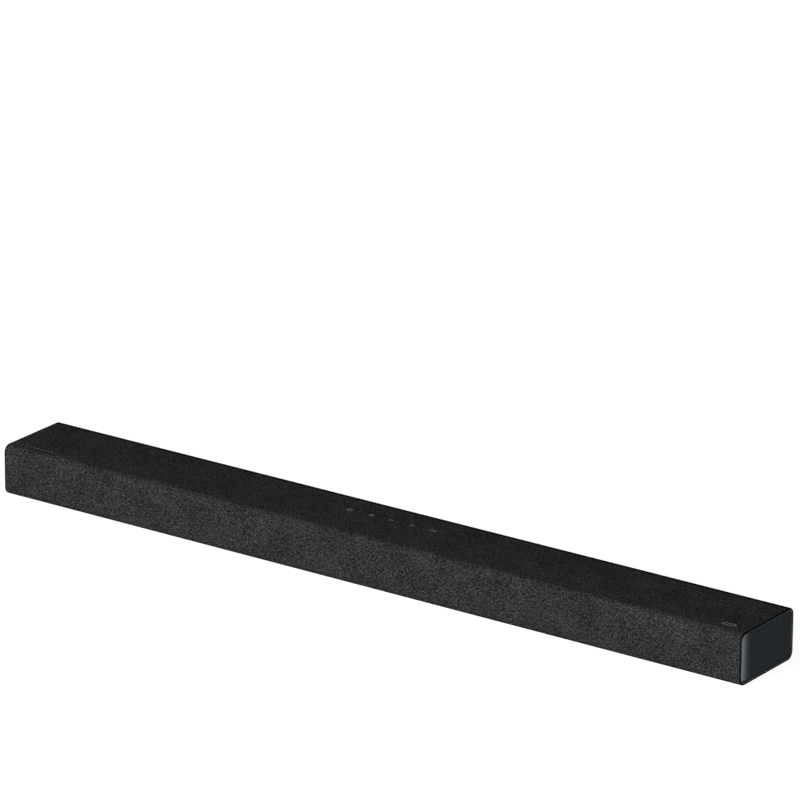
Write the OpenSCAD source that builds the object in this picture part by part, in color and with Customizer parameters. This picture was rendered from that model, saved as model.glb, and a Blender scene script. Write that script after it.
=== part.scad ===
// Slim cloth-wrapped soundbar: case, loudspeakers, electronics and keys.
// X runs along the bar, the front faces -Y, Z is up, and the feet stand on Z = 0.

/* [Case] */
// Length of the bar over its two ends
bar_l = 890; // [884:1:900]
// Depth of the bar from front to back
bar_d = 94; // [94:0.5:98]
// Height of the bar from the table to the cloth on top
bar_h = 57; // [57:0.5:59]
// Height of the feet below the case
foot_h = 3.4; // [2.8:0.2:4]
// Radius of the four long edges
edge_r = 8; // [7:0.5:9]
// Thickness of the case wall, cloth included
wall_t = 2.6; // [2.4:0.1:2.8]
// Thickness of the cloth
cloth_t = 0.8; // [0.6:0.1:1]

/* [End caps] */
// How far the flat of an end cap lies inside the end of the case
cap_recess = 2; // [1.5:0.1:2.5]
// How much deeper the front edge of an end cap rolls in
cap_roll = 4.5; // [3:0.5:5]
// Length of that rolled part along the depth of the bar
cap_roll_l = 18; // [14:1:20]
// Thickness of an end cap's face
cap_t = 2.6; // [2.2:0.1:3]

/* [Keys] */
// Distance between neighbouring keys
key_pitch = 25.2; // [22:0.2:27]
// Distance of the key row behind the middle of the bar
key_y = 9; // [8:0.5:10]
// Radius of a key cap
key_r = 7; // [6:0.5:8]
// Travel of a key
key_travel = 0.5; // [0.3:0.1:0.6]

/* [Loudspeakers] */
// Distance of each outer woofer from the middle of the bar
woofer_x = 330; // [320:1:340]
// Distance of each tweeter from the middle of the bar
tweeter_x = 242; // [236:1:246]
// Half the distance between the centres of a woofer's two round ends
woofer_half = 24; // [22:1:26]
// Travel of a woofer cone each way from rest
cone_travel = 2.5; // [1.5:0.5:2.5]

/* [Sockets] */
// Depth of the connector bay in the back
bay_deep = 17.4; // [16:0.2:18]
// Half the width of the connector bay
bay_half = 104; // [102:1:106]

/* [Mounts] */
// Distance between the two wall mounting inserts
insert_spacing = 600; // [560:10:640]
// Radius of the hole in an insert, for an M4 thread
insert_hole_r = 1.65; // [1.6:0.05:1.7]

/* [Hidden] */
$fn = 64;
eps = 0.01;

// Case
body_h = bar_h - foot_h;
mid_z = foot_h + body_h / 2;
in_y = bar_d / 2 - wall_t;
floor_z = foot_h + wall_t;
roof_z = bar_h - wall_t;
half_l = bar_l / 2;
cloth_edge_y = -37;
cloth_edge_z = 44;
post_xs = [199, 427];
post_ys = [-30, 34];
post_r = 4;
pad_top = floor_z + 3;
screw_r = 1.5;
screw_head_r = 3.2;
screw_seat_z = foot_h + 3;
foot_r = 8;
foot_x = 380;
foot_y = 26;
foot_sink = 1;

// Speaker boxes
box_top = roof_z - 1;
box_front = -36;
box_wall = 2;
driver_z = (floor_z + box_top) / 2;
gasket_t = 0.6;
flange_t = 2;
driver_y = box_front - gasket_t - flange_t;
side_box = [205, 421, 34.4];
centre_box = [-110, 110, -2];
lid_t = 2;

// Woofer, measured from the front of its flange
flange_w = 94;
flange_h = 42;
ear_x = 43;
ear_y = 17;
ear_r = 1.7;
basket_r = 18.8;
basket_in_r = 17.6;
basket_deep = 15;
plate_t = 1.6;
spider_z = -10.8;
pole_r = 9.2;
gap_r = 11.2;
front_plate_t = 3;
magnet_t = 8;
former_r = 10.2;
cone_rim_r = 16;
cone_neck_r = 11.2;
cone_deep = 6;

// Tweeter, measured from the front of its flange
tw_flange_r = 17;
tw_cup_r = 13;
tw_dome_r = 9.6;
tw_ear = 15;
tw_ledge = 0.3;

// Boards and sockets
board_t = 1.6;
board_z = 12;
board_top = board_z + board_t;
bay_face = bar_d / 2 - bay_deep;
bay_wall = 1.6;
bay_low = foot_h + edge_r;
bay_high = 35;
bay_plate_half = bay_half + 6;
socket_face = bay_face + 0.4;
inlet_x = -72;
hdmi_xs = [-16, 10];
optical_x = 38;
usb_x = 66;
insert_z = 26;
insert_r = 3;
insert_l = 8;
key_post_low = 47;
lip_t = 1.2;
display_x = 154;

key_names = ["power", "source", "volume_down", "volume_up", "pairing"];
side_names = ["left", "right"];
woofer_names = ["left", "centre", "right"];
woofer_parts = ["frame", "yoke", "magnet", "cone", "surround", "spider"];
tweeter_parts = ["housing", "dome", "surround"];

// ---------- shapes that repeat ----------

// Rectangle with true round corners, centred
module rounded_rect(w, h, r) {
    square([w - 2 * r, h], center = true);
    square([w, h - 2 * r], center = true);
    for (x = [-1, 1], y = [-1, 1]) translate([x * (w / 2 - r), y * (h / 2 - r)]) circle(r);
}

// Racetrack: two half circles joined by straights
module stadium(r, half) {
    square([2 * half, 2 * r], center = true);
    for (s = [-1, 1]) translate([s * half, 0]) circle(r);
}

// Carries a 2D section, drawn as radius and height, round a racetrack
module stadium_sweep(half) {
    for (s = [-1, 1]) translate([s * half, 0, 0]) rotate([0, 0, -90 * s])
        rotate_extrude(angle = 180) children();
    for (s = [0, 1]) mirror([0, s, 0]) translate([-half, 0, 0]) rotate([90, 0, 90])
        linear_extrude(2 * half) children();
}

// Cross-section of the case, inset from its outer face
module case_outline(inset) {
    translate([0, mid_z]) rounded_rect(bar_d - 2 * inset, body_h - 2 * inset, edge_r - inset);
}

module case_ring(outer, inner) {
    difference() {
        case_outline(outer);
        case_outline(inner);
    }
}

// The part of the cross-section that the plastic tray holds: underside and back
module tray_region(grow = 0) {
    translate([cloth_edge_y - grow, 0]) square([bar_d, cloth_edge_z + grow]);
}

// Extrudes a cross-section along the bar
module along_bar(from, to) {
    translate([from, 0, 0]) rotate([90, 0, 90]) linear_extrude(to - from) children();
}

// Extrudes a plan drawn in X and Z towards the back
module towards_back(from, to) {
    translate([0, to, 0]) rotate([90, 0, 0]) linear_extrude(to - from) children();
}

module block(x0, x1, y0, y1, z0, z1) {
    translate([x0, y0, z0]) cube([x1 - x0, y1 - y0, z1 - z0]);
}

module at_posts() {
    for (sx = [-1, 1], x = post_xs, y = post_ys) translate([sx * x, y, 0]) children();
}

module at_key_posts() {
    for (s = [-1, 1]) translate([s * 70, key_y, 0]) children();
}

// Places a child at each wall mounting insert, its Z inwards
module at_inserts() {
    for (s = [-1, 1])
        translate([s * insert_spacing / 2, bar_d / 2, insert_z]) rotate([90, 0, 0]) children();
}

module at_driver(x) {
    translate([x, driver_y, driver_z]) rotate([90, 0, 0]) children();
}

module at_ears() {
    for (x = [-1, 1], y = [-1, 1]) translate([x * ear_x, y * ear_y, 0]) children();
}

// Screw with its head downwards at Z = 0 and a cross recess
module screw(head_r, head_h, r, l) {
    difference() {
        union() {
            translate([0, 0, -head_h]) cylinder(r = head_r, h = head_h);
            cylinder(r = r, h = l);
        }
        for (a = [0, 90]) rotate([0, 0, a]) translate([-head_r * 0.6, -0.3, -head_h - eps])
            cube([head_r * 1.2, 0.6, 1]);
    }
}

// Wire bent through a row of points
module wire(points, r = 0.9) {
    for (i = [0 : len(points) - 2]) hull() {
        translate(points[i]) sphere(r, $fn = 12);
        translate(points[i + 1]) sphere(r, $fn = 12);
    }
}

function side_sign(side) = side == "left" ? -1 : side == "right" ? 1 : 0;

// ---------- case ----------

// The underside of the case, up to where the flat back starts
module base_tray() color("#17181a") {
    difference() {
        union() {
            along_bar(-half_l, half_l) intersection() {
                case_ring(0, wall_t);
                tray_region();
                translate([-bar_d, 0]) square([2 * bar_d, bay_low]);
            }
            // lip behind the lower edge of the grille frame
            along_bar(-430, 430) intersection() {
                case_ring(wall_t, wall_t + lip_t);
                translate([-41, 0]) square([4.9, 20]);
            }
            // lips behind the lower edge of the back panel, either side of the connector bay
            for (s = [-1, 1]) block(s * 272 - 158, s * 272 + 158, in_y - lip_t, in_y, 9, 12.9);
            at_posts() translate([0, 0, foot_h]) cylinder(r = 5.5, h = pad_top - foot_h);
            tray_standoffs(3, 0);
            // catches for the end caps
            for (s = [-1, 1]) block(s * 429 - 1, s * 429 + 1, -4, 8, floor_z - eps, floor_z + 1.9);
        }
        at_posts() {
            cylinder(r = 1.7, h = 20);
            translate([0, 0, -1]) cylinder(r = screw_head_r + 0.4, h = screw_seat_z + 1);
        }
        tray_standoffs(1.2, 1);
        for (x = [-1, 1], y = [-1, 1]) translate([x * foot_x, y * foot_y, 0])
            cylinder(r = foot_r + 0.15, h = foot_h + foot_sink);
    }
}

// The flat back either side of the connector bay, with its cooling slots and wall mounting bosses
module back_panel() color("#17181a") {
    difference() {
        for (s = [0, 1]) mirror([s, 0, 0]) union() {
            block(bay_plate_half + 0.2, half_l, in_y, bar_d / 2, bay_low, cloth_edge_z);
            // lip behind the rear edge of the grille frame
            block(bay_plate_half + 5, 430, in_y - lip_t, in_y, cloth_edge_z - 3, cloth_edge_z + 3);
            translate([insert_spacing / 2, in_y + eps, insert_z]) rotate([90, 0, 0]) cylinder(r = 6, h = 5.6);
        }
        at_inserts() translate([0, 0, -1]) cylinder(r = insert_r, h = 20);
        back_vents();
    }
}

// Pillars under the three flat boards
module tray_standoffs(r, deeper) {
    spots = [
        for (x = [-44, 96], y = [7, 23]) [x, y],
        for (s = [-1, 1], x = [126, 184], y = [-28, 28]) [s * x, y]
    ];
    for (p = spots) translate([p[0], p[1], floor_z - eps + deeper])
        cylinder(r = r, h = board_z - floor_z + eps);
}

// Rows of cooling slots in the back panel
module back_vents() {
    towards_back(40, 60) for (s = [-1, 1], i = [-5 : 5])
        translate([s * 155 + i * 6, 22]) rotate(90) stadium(1, 7);
}

// Pillars that tie the grille frame to the tray and carry the key board, and the display's bracket
module inner_supports() color("#17181a") {
    difference() {
        union() {
            at_posts() translate([0, 0, pad_top]) cylinder(r = post_r, h = roof_z - pad_top);
            at_key_posts() translate([0, 0, key_post_low]) cylinder(r = 3, h = roof_z - key_post_low);
        }
        at_posts() translate([0, 0, pad_top - 1]) cylinder(r = screw_r, h = 16);
        at_key_posts() translate([0, 0, key_post_low - 1]) cylinder(r = 1, h = roof_z - key_post_low - 1);
    }
    for (s = [-1, 1]) translate([display_x + s * 34, 0, 0]) difference() {
        union() {
            block(-1.5, 1.5, -36, -33.5, floor_z, 26);
            block(-1.5, 1.5, -39.5, -35.9, floor_z + 1.8, 26);
        }
        block(-s - 1, 1 - s, -38.1, -36.3, floor_z + 2, 30);
    }
}

module grille_frame() color("#101112") {
    difference() {
        union() {
            along_bar(-half_l + cloth_t, half_l - cloth_t) difference() {
                case_ring(cloth_t, wall_t);
                tray_region();
            }
            for (s = [-1, 1]) block(s * 429 - 1, s * 429 + 1, -4, 8, roof_z - 1.9, roof_z + eps);
        }
        for (i = [0 : 4]) translate([key_x(i), key_y, roof_z - 5]) cylinder(r = key_r + 0.25, h = 10);
        // joints between the front grille, the top cover and the rear strip
        block(-500, 500, -60, -30, bar_h - edge_r, bar_h - edge_r + 0.1);
        block(-500, 500, bar_d / 2 - edge_r, bar_d / 2 - edge_r + 0.1, 40, 60);
        towards_back(-60, -30) {
            for (x = [-woofer_x, 0, woofer_x], i = [-7 : 7])
                translate([x + i * 6, driver_z]) rotate(90) stadium(1.6, 13);
            for (s = [-1, 1], i = [-2 : 2])
                translate([s * tweeter_x + i * 6, driver_z]) rotate(90) stadium(1.6, 9);
            translate([display_x, 30]) rounded_rect(52, 16, 2);
        }
    }
}

module grille_cloth() color("#37383a") {
    along_bar(-half_l, half_l) difference() {
        case_ring(0, cloth_t);
        tray_region();
    }
    // folded over the two ends of the grille frame
    for (end_x = [-half_l, half_l - cloth_t]) along_bar(end_x, end_x + cloth_t) difference() {
        case_ring(0, wall_t);
        tray_region();
    }
}

// Plan of an end cap in X and Y for the right end, flat behind and rolled in at the front
module cap_plan(face_x, inset) {
    roll_y = -in_y + cap_roll_l;
    roll_r = (cap_roll_l * cap_roll_l + cap_roll * cap_roll) / (2 * cap_roll);
    translate([380, roll_y]) square([face_x - inset - 380, 90]);
    intersection() {
        translate([face_x - roll_r, roll_y]) circle(roll_r - inset, $fn = 180);
        translate([380, -60]) square([80, 60 + roll_y]);
    }
}

module end_cap(side) color("#232729") {
    gap = 0.15;
    skirt_t = 1.6;
    skirt_x = 434;
    face_x = half_l - cap_recess;
    mirror([side < 0 ? 1 : 0, 0, 0]) {
        difference() {
            intersection() {
                along_bar(skirt_x, half_l) case_outline(wall_t + gap);
                linear_extrude(80) cap_plan(face_x, 0);
            }
            intersection() {
                along_bar(skirt_x - 1, half_l) case_outline(wall_t + gap + skirt_t);
                linear_extrude(80) cap_plan(face_x, cap_t);
            }
        }
        // two barbed tongues that snap behind the catches
        cap_tongue(roof_z - 2.1, -1);
        cap_tongue(floor_z + 2.1, 1);
    }
}

module cap_tongue(z, way) {
    thick = 1.4;
    near = min(z, z + way * thick);
    block(425.6, 438, -3, 7, near, near + thick);
    block(434.5, 438, -3, 7, min(z, z - way * 1.4), max(z, z - way * 1.4));
    block(425.6, 427.8, -3, 7, min(z, z - way * 1.3), max(z, z - way * 1.3));
}

module rubber_feet() color("#1c1c1c") {
    top = foot_h + foot_sink;
    for (x = [-1, 1], y = [-1, 1]) translate([x * foot_x, y * foot_y, 0])
        rotate_extrude() polygon([[0, 0], [foot_r - 1.2, 0], [foot_r, 1.2], [foot_r, top], [0, top]]);
}

module case_screws() color("#3c3d40") {
    at_posts() translate([0, 0, screw_seat_z]) screw(screw_head_r, 2, screw_r - 0.05, 14);
}

module wall_inserts() color("#b08d4a") {
    at_inserts() difference() {
        cylinder(r = insert_r, h = insert_l);
        translate([0, 0, -1]) cylinder(r = insert_hole_r, h = insert_l + 2);
    }
}

// ---------- speaker boxes ----------

// Open-backed box from x0 to x1; its front wall carries the drivers
module speaker_box(x0, x1, y1, woofer_at, tweeters_at) color("#1a1a1b") {
    wire_x = x0 < 0 && x1 < 0 ? x1 : x0;
    difference() {
        block(x0, x1, box_front, y1, floor_z, box_top);
        block(x0 + box_wall, x1 - box_wall, box_front + 3, y1 + 1, floor_z + box_wall, box_top - box_wall);
        at_driver(woofer_at) {
            translate([0, 0, -10]) linear_extrude(10) stadium(basket_r + 0.4, woofer_half);
            at_ears() translate([0, 0, -10]) cylinder(r = 1.3, h = 12);
        }
        for (x = tweeters_at) at_driver(x) {
            translate([0, 0, -10]) cylinder(r = tw_cup_r + 0.3, h = 12);
            for (s = [-1, 1]) translate([s * tw_ear, 0, -10]) cylinder(r = 0.9, h = 12);
        }
        translate([wire_x - 4, box_front + 14, 46]) rotate([0, 90, 0]) cylinder(r = 2.4, h = 8);
    }
}

module box_lids() color("#202022") {
    for (s = [0, 1]) mirror([s, 0, 0])
        block(side_box[0], side_box[1], side_box[2], side_box[2] + lid_t, floor_z, box_top);
    block(centre_box[0], centre_box[1], centre_box[2], centre_box[2] + lid_t, floor_z, box_top);
}

module foam_pads() color("#2b2b2b") {
    for (s = [-1, 1], x = [225, 400], y = [-20, 20])
        block(s * x - 12, s * x + 12, y - 4, y + 4, box_top, roof_z);
    for (s = [-1, 1]) block(s * 90 - 10, s * 90 + 10, -24, -16, box_top, roof_z);
}

module driver_gaskets() color("#262626") {
    behind_flange = -flange_t - gasket_t;
    for (x = [-woofer_x, 0, woofer_x])
        at_driver(x) translate([0, 0, behind_flange]) linear_extrude(gasket_t) difference() {
            rounded_rect(flange_w, flange_h, 4);
            stadium(basket_r + 0.4, woofer_half);
            at_ears() circle(ear_r);
        }
    for (s = [-1, 1])
        at_driver(s * tweeter_x) translate([0, 0, behind_flange]) linear_extrude(gasket_t) difference() {
            circle(tw_flange_r);
            circle(tw_cup_r + 0.3);
            for (e = [-1, 1]) translate([e * tw_ear, 0]) circle(1.1);
        }
}

module driver_screws() color("#4a4b4e") {
    for (x = [-woofer_x, 0, woofer_x]) at_driver(x) at_ears() mirror([0, 0, 1]) screw(2.6, 1.6, 1.25, 6.5);
    for (s = [-1, 1]) at_driver(s * tweeter_x) for (e = [-1, 1])
        translate([e * tw_ear, 0, 0]) mirror([0, 0, 1]) screw(1.6, 1.2, 0.85, 5.5);
}

// ---------- woofer ----------

module woofer_frame() color("#2a2c2f") {
    difference() {
        union() {
            translate([0, 0, -flange_t]) linear_extrude(flange_t) rounded_rect(flange_w, flange_h, 4);
            translate([0, 0, -basket_deep])
                linear_extrude(basket_deep - flange_t) stadium(basket_r, woofer_half);
        }
        difference() {
            translate([0, 0, -basket_deep + plate_t])
                linear_extrude(basket_deep) stadium(basket_in_r, woofer_half);
            // ring that the spider is glued to
            translate([0, 0, -basket_deep]) cylinder(r = 16.6, h = basket_deep + spider_z);
        }
        translate([0, 0, -basket_deep - 1]) cylinder(r = 14.6, h = basket_deep);
        for (s = [-1, 1]) translate([s * 30, 0, -basket_deep - 1])
            linear_extrude(plate_t + 2) stadium(6, 3.4);
        // air slots through the long sides
        for (x = [-18, 0, 18]) block(x - 6, x + 6, -30, 30, -11, -5);
        at_ears() translate([0, 0, -flange_t - 1]) cylinder(r = ear_r, h = flange_t + 2);
    }
}

module woofer_yoke() color("#8a8c8f") {
    translate([0, 0, -basket_deep - front_plate_t]) difference() {
        cylinder(r = 16, h = front_plate_t);
        translate([0, 0, -1]) cylinder(r = gap_r, h = front_plate_t + 2);
    }
    translate([0, 0, -basket_deep - 2 * front_plate_t - magnet_t]) {
        cylinder(r = 16, h = front_plate_t);
        cylinder(r = pole_r, h = 2 * front_plate_t + magnet_t - 0.2);
    }
}

module woofer_magnet() color("#3b3a39") {
    translate([0, 0, -basket_deep - front_plate_t - magnet_t]) difference() {
        cylinder(r = 17.5, h = magnet_t);
        translate([0, 0, -1]) cylinder(r = 12.8, h = magnet_t + 2);
    }
}

module woofer_cone() color("#232324") {
    translate([0, 0, -cone_deep - 0.6]) linear_extrude(0.6) stadium(cone_neck_r, woofer_half);
    stadium_sweep(woofer_half) polygon([
        [cone_neck_r - 0.6, -cone_deep - 0.6], [cone_neck_r, -cone_deep - 0.6], [cone_rim_r, -1.2],
        [cone_rim_r, -0.6], [cone_rim_r - 0.9, -0.6], [cone_neck_r - 0.6, -cone_deep]]);
    dome_cap(10, 3, 0.5, -cone_deep);
    // voice coil former and its winding
    translate([0, 0, -20.5]) tube(former_r, former_r - 0.3, 20.5 - cone_deep - 0.6);
    translate([0, 0, -20]) tube(former_r + 0.6, former_r - 0.1, 6);
}

module tube(outer, inner, l) {
    difference() {
        cylinder(r = outer, h = l);
        translate([0, 0, -1]) cylinder(r = inner, h = l + 2);
    }
}

// Thin spherical cap of a given footprint radius and height
module dome_cap(r, high, thick, z) {
    ball = (r * r + high * high) / (2 * high);
    intersection() {
        translate([0, 0, z + high - ball]) difference() {
            sphere(ball);
            sphere(ball - thick);
        }
        translate([0, 0, z]) cylinder(r = r + 1, h = high + 1);
    }
}

// Half-round rubber roll with a flat lip on each side
module half_roll(mid_r, roll_r, thick) {
    translate([mid_r, 0]) intersection() {
        difference() {
            circle(roll_r);
            circle(roll_r - thick);
        }
        translate([-5, 0]) square([10, 5]);
    }
}

module woofer_surround() color("#151515") {
    stadium_sweep(woofer_half) {
        half_roll(17.1, 1.75, 0.45);
        translate([15.0, -0.6]) square([0.9, 0.6]);
        translate([18.4, 0]) square([1.5, 0.45]);
    }
}

module woofer_spider() color("#b58a3c") {
    translate([0, 0, spider_z]) rotate_extrude() {
        translate([former_r, 0]) square([0.9, 0.4]);
        for (i = [0 : 2]) translate([former_r + 1.3 + i * 1.1, 0.2]) circle(0.55, $fn = 24);
        translate([former_r + 0.6, 0.05]) square([5, 0.3]);
        translate([former_r + 5, 0]) square([1.3, 0.4]);
    }
}

module woofer(name, part) {
    at_driver(side_sign(name) * woofer_x) {
        if (part == "frame") woofer_frame();
        if (part == "yoke") woofer_yoke();
        if (part == "magnet") woofer_magnet();
        if (part == "cone") woofer_cone();
        if (part == "surround") woofer_surround();
        if (part == "spider") woofer_spider();
    }
}

// ---------- tweeter ----------

module tweeter_housing() color("#2a2c2f") {
    difference() {
        rotate_extrude() polygon([
            [0, -11], [tw_cup_r, -11], [tw_cup_r, -flange_t], [tw_flange_r, -flange_t], [tw_flange_r, 0],
            [12.6, 0], [12.0, -tw_ledge], [10.6, -tw_ledge], [10.6, -7], [9, -7], [9, -1.2], [0, -1.2]]);
        for (s = [-1, 1]) translate([s * tw_ear, 0, -flange_t - 1]) cylinder(r = 1.1, h = flange_t + 2);
    }
}

module tweeter_dome() color("#5a5044") {
    dome_cap(tw_dome_r, 3, 0.35, 0);
    translate([0, 0, -5]) tube(tw_dome_r + 0.1, tw_dome_r - 0.2, 5.3);
}

module tweeter_surround() color("#3a342c") {
    rotate_extrude() {
        half_roll(10.6, 0.75, 0.25);
        translate([tw_dome_r + 0.1, -0.1]) square([0.35, 0.3]);
        translate([11.1, -tw_ledge]) square([0.75, tw_ledge + 0.1]);
    }
}

module tweeter(side, part) {
    at_driver(side_sign(side) * tweeter_x) {
        if (part == "housing") tweeter_housing();
        if (part == "dome") tweeter_dome();
        if (part == "surround") tweeter_surround();
    }
}

// ---------- keys ----------

function key_x(i) = (i - 2) * key_pitch;

// Key cap under the cloth, with the rim that holds it in and the stem over its switch
module key(i) color("#202123") {
    cap_top = bar_h - cloth_t - 0.1;
    translate([key_x(i), key_y, 0]) {
        translate([0, 0, roof_z - 0.4]) cylinder(r = key_r, h = cap_top - roof_z + 0.4);
        translate([0, 0, roof_z - 1.5]) cylinder(r = key_r + 1.2, h = 1.2);
        translate([0, 0, roof_z - 2.8]) cylinder(r = 2.2, h = 1.4);
    }
}

module key_board() color("#1f5a3a") {
    board_low = roof_z - 9;
    difference() {
        block(-76, 76, key_y - 8, key_y + 8, board_low, board_low + board_t);
        at_key_posts() translate([0, 0, board_low - 1]) cylinder(r = 1.4, h = 4);
    }
    // tact switches, one under each key
    for (i = [0 : 4]) translate([key_x(i), key_y, board_low + board_t - eps]) {
        translate([-3, -3, 0]) cube([6, 6, 3.2]);
        cylinder(r = 1.7, h = roof_z - 2.8 - key_travel - 0.1 - board_low - board_t + eps);
    }
}

// ---------- electronics ----------

module board(x0, x1, y0, y1, holes) {
    difference() {
        block(x0, x1, y0, y1, board_z, board_top);
        for (p = holes) translate([p[0], p[1], board_z - 1]) cylinder(r = 1.6, h = 4);
    }
}

module main_board() color("#1f5a3a") {
    board(-50, 102, 3, bay_face - bay_wall - 0.2, [for (x = [-44, 96], y = [7, 23]) [x, y]]);
}

module main_board_parts() {
    z = board_top;
    block(20, 36, 5, 14, z, z + 1.6);
    block(42, 52, 5, 11, z, z + 1.2);
    for (i = [0 : 4]) translate([58 + i * 6, 8, z]) cylinder(r = 2.4, h = 6);
    block(-16, -2, 4.5, 9.5, z, z + 5);
    block(2, 14, 4.5, 9.5, z, z + 5);
    // wireless module with its shield
    block(-40, -26, 5, 21, z, z + 1);
    block(-38.5, -27.5, 9, 20, z + 1 - eps, z + 3);
    for (x = [-44, 96], y = [7, 23]) translate([x, y, z]) mirror([0, 0, 1]) screw(2.6, 1.4, 1.15, 6);
}

module power_board() color("#7a6a3a") {
    board(-192, -118, -32, 36, [for (x = [-184, -126], y = [-28, 28]) [x, y]]);
}

module power_board_parts() {
    z = board_top;
    // transformer: ferrite core round its bobbin
    block(-172, -142, -12, 14, z, z + 20);
    block(-176, -138, -8, 10, z + 4, z + 16);
    for (y = [-22, 24]) translate([-158, y, z]) cylinder(r = 7, h = 26);
    translate([-134, 26, z]) cylinder(r = 4, h = 14);
    block(-180, -168, 20, 27, z, z + 11);
    block(-134, -124, -12, 6, z, z + 9);
    block(-148, -128, -26, -20, z, z + 16);
    for (x = [-184, -126], y = [-28, 28]) translate([x, y, z]) mirror([0, 0, 1]) screw(2.6, 1.4, 1.15, 6);
}

module amp_board() color("#1f5a3a") {
    board(118, 192, -32, 36, [for (x = [184, 126], y = [-28, 28]) [x, y]]);
}

module amp_board_parts() {
    z = board_top;
    for (i = [0 : 3]) block(130 + i * 14, 140 + i * 14, -18, -8, z, z + 8);
    for (i = [0 : 3]) translate([134 + i * 13, 20, z]) cylinder(r = 4.5, h = 16);
    block(140, 170, -1, 9, z, z + 1.8);
    block(176, 186, 6, 16, z, z + 9);
    for (x = [184, 126], y = [-28, 28]) translate([x, y, z]) mirror([0, 0, 1]) screw(2.6, 1.4, 1.15, 6);
}

// Everything soldered to the three flat boards, and the screws of all the boards
module board_parts() color("#2b2c2e") {
    main_board_parts();
    power_board_parts();
    amp_board_parts();
    // screws that hold the key board up against its pillars
    at_key_posts() translate([0, 0, roof_z - 9]) screw(2.4, 1.2, 0.95, 6);
}

// Finned block on the power amplifier chips
module heat_sink() color("#9a9c9f") {
    z = board_top + 1.8;
    block(132, 174, -3, 11, z, z + 3);
    for (i = [0 : 6]) block(132 + i * 6.7, 133.6 + i * 6.7, -3, 11, z + 3 - eps, z + 16);
}

module display_board() color("#1f5a3a") {
    block(display_x - 32.8, display_x + 32.8, -37.9, -36.5, floor_z + 2, 40);
    // segment lamps and the remote-control eye
    for (i = [-2 : 2]) translate([display_x + i * 9, 0, 0]) block(-3.4, 3.4, -40, -37.9 + eps, 25, 36);
    translate([display_x + 28, -37.9, 30]) rotate([90, 0, 0]) cylinder(r = 2.6, h = 3.4);
}

module display_window() color("#3a3f44") {
    towards_back(-bar_d / 2 + cloth_t, -in_y + 1) translate([display_x, 30]) rounded_rect(51.6, 15.6, 1.8);
    towards_back(-in_y, -in_y + 1.2) translate([display_x, 30]) rounded_rect(58, 20, 2);
}

// ---------- sockets ----------

// Middle of the back with the moulded tub of the connector bay; each connector looks through its wall
module connector_bay() color("#141516") {
    inner_half = bay_half - bay_wall;
    difference() {
        union() {
            block(-bay_half, bay_half, bay_face - bay_wall, bar_d / 2, bay_low, bay_high);
            block(-bay_plate_half, bay_plate_half, in_y, bar_d / 2, bay_low, cloth_edge_z);
            // flange behind the two side panels, and the lip behind the grille frame
            block(-bay_plate_half - 3, bay_plate_half + 3, in_y - lip_t, in_y,
                bay_low + 0.1, cloth_edge_z - 0.1);
            block(-bay_half, bay_half, in_y - lip_t, in_y, cloth_edge_z - 1, cloth_edge_z + 3);
        }
        block(-inner_half, inner_half, bay_face, 60, bay_low + bay_wall, bay_high - bay_wall);
        towards_back(bay_face - 10, 60) {
            for (x = hdmi_xs) translate([x, board_top + 3]) square([15.4, 6.2], center = true);
            translate([optical_x, board_top + 5.5]) square([12.2, 11.2], center = true);
            translate([usb_x, board_top + 3.2]) square([13.4, 6.6], center = true);
            translate([inlet_x, 22]) rounded_rect(24.2, 16.2, 3.1);
        }
    }
}

// Sheet-metal connector shell round a cavity with a contact tongue
module tongue_socket(x, w, h, tongue_w, tongue_t, deep) {
    z = board_top + 0.05;
    back = socket_face - deep;
    wall = 0.6;
    difference() {
        block(x - w / 2, x + w / 2, back, socket_face, z, z + h);
        translate([x, 0, z + h / 2])
            block(wall - w / 2, w / 2 - wall, back + 2, socket_face + 1, wall - h / 2, h / 2 - wall);
    }
    translate([x, 0, z + h / 2])
        block(-tongue_w / 2, tongue_w / 2, back + 2 - eps, socket_face - 1.2, -tongue_t / 2, tongue_t / 2);
}

module hdmi_sockets() color("#8f9194") {
    for (x = hdmi_xs) tongue_socket(x, 15, 5.8, 11.4, 1.2, 12);
}

module usb_socket() color("#8f9194") {
    tongue_socket(usb_x, 13, 6.2, 10.6, 1.8, 13);
}

module optical_socket() color("#1b1b1c") {
    z = board_top + 0.05;
    difference() {
        block(optical_x - 6, optical_x + 6, socket_face - 13, socket_face, z, z + 10.8);
        block(optical_x - 4.4, optical_x + 4.4, socket_face - 9, socket_face + 1, z + 1.2, z + 9.6);
    }
    // light guide at the bottom of the socket
    translate([optical_x, socket_face - 9 - eps, z + 5.4]) rotate([-90, 0, 0]) cylinder(r = 1.1, h = 2.4);
}

// Two-pin mains inlet of the figure-8 pattern
module mains_inlet() color("#1b1b1c") {
    cavity_r = 4.1;
    pin_gap = 8.6;
    deep = 12;
    difference() {
        union() {
            towards_back(socket_face - 17, socket_face) translate([inlet_x, 22]) rounded_rect(24, 16, 3);
            block(inlet_x - 9, inlet_x + 9, socket_face - 22, socket_face - 17 + eps, 16, 28);
        }
        towards_back(socket_face - deep, socket_face + 1)
            translate([inlet_x, 22]) stadium(cavity_r, pin_gap / 2);
    }
    for (s = [-1, 1]) translate([inlet_x + s * pin_gap / 2, socket_face - 2, 22]) rotate([90, 0, 0])
        cylinder(r = 1.2, h = deep - 2 + eps, $fn = 24);
}

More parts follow.
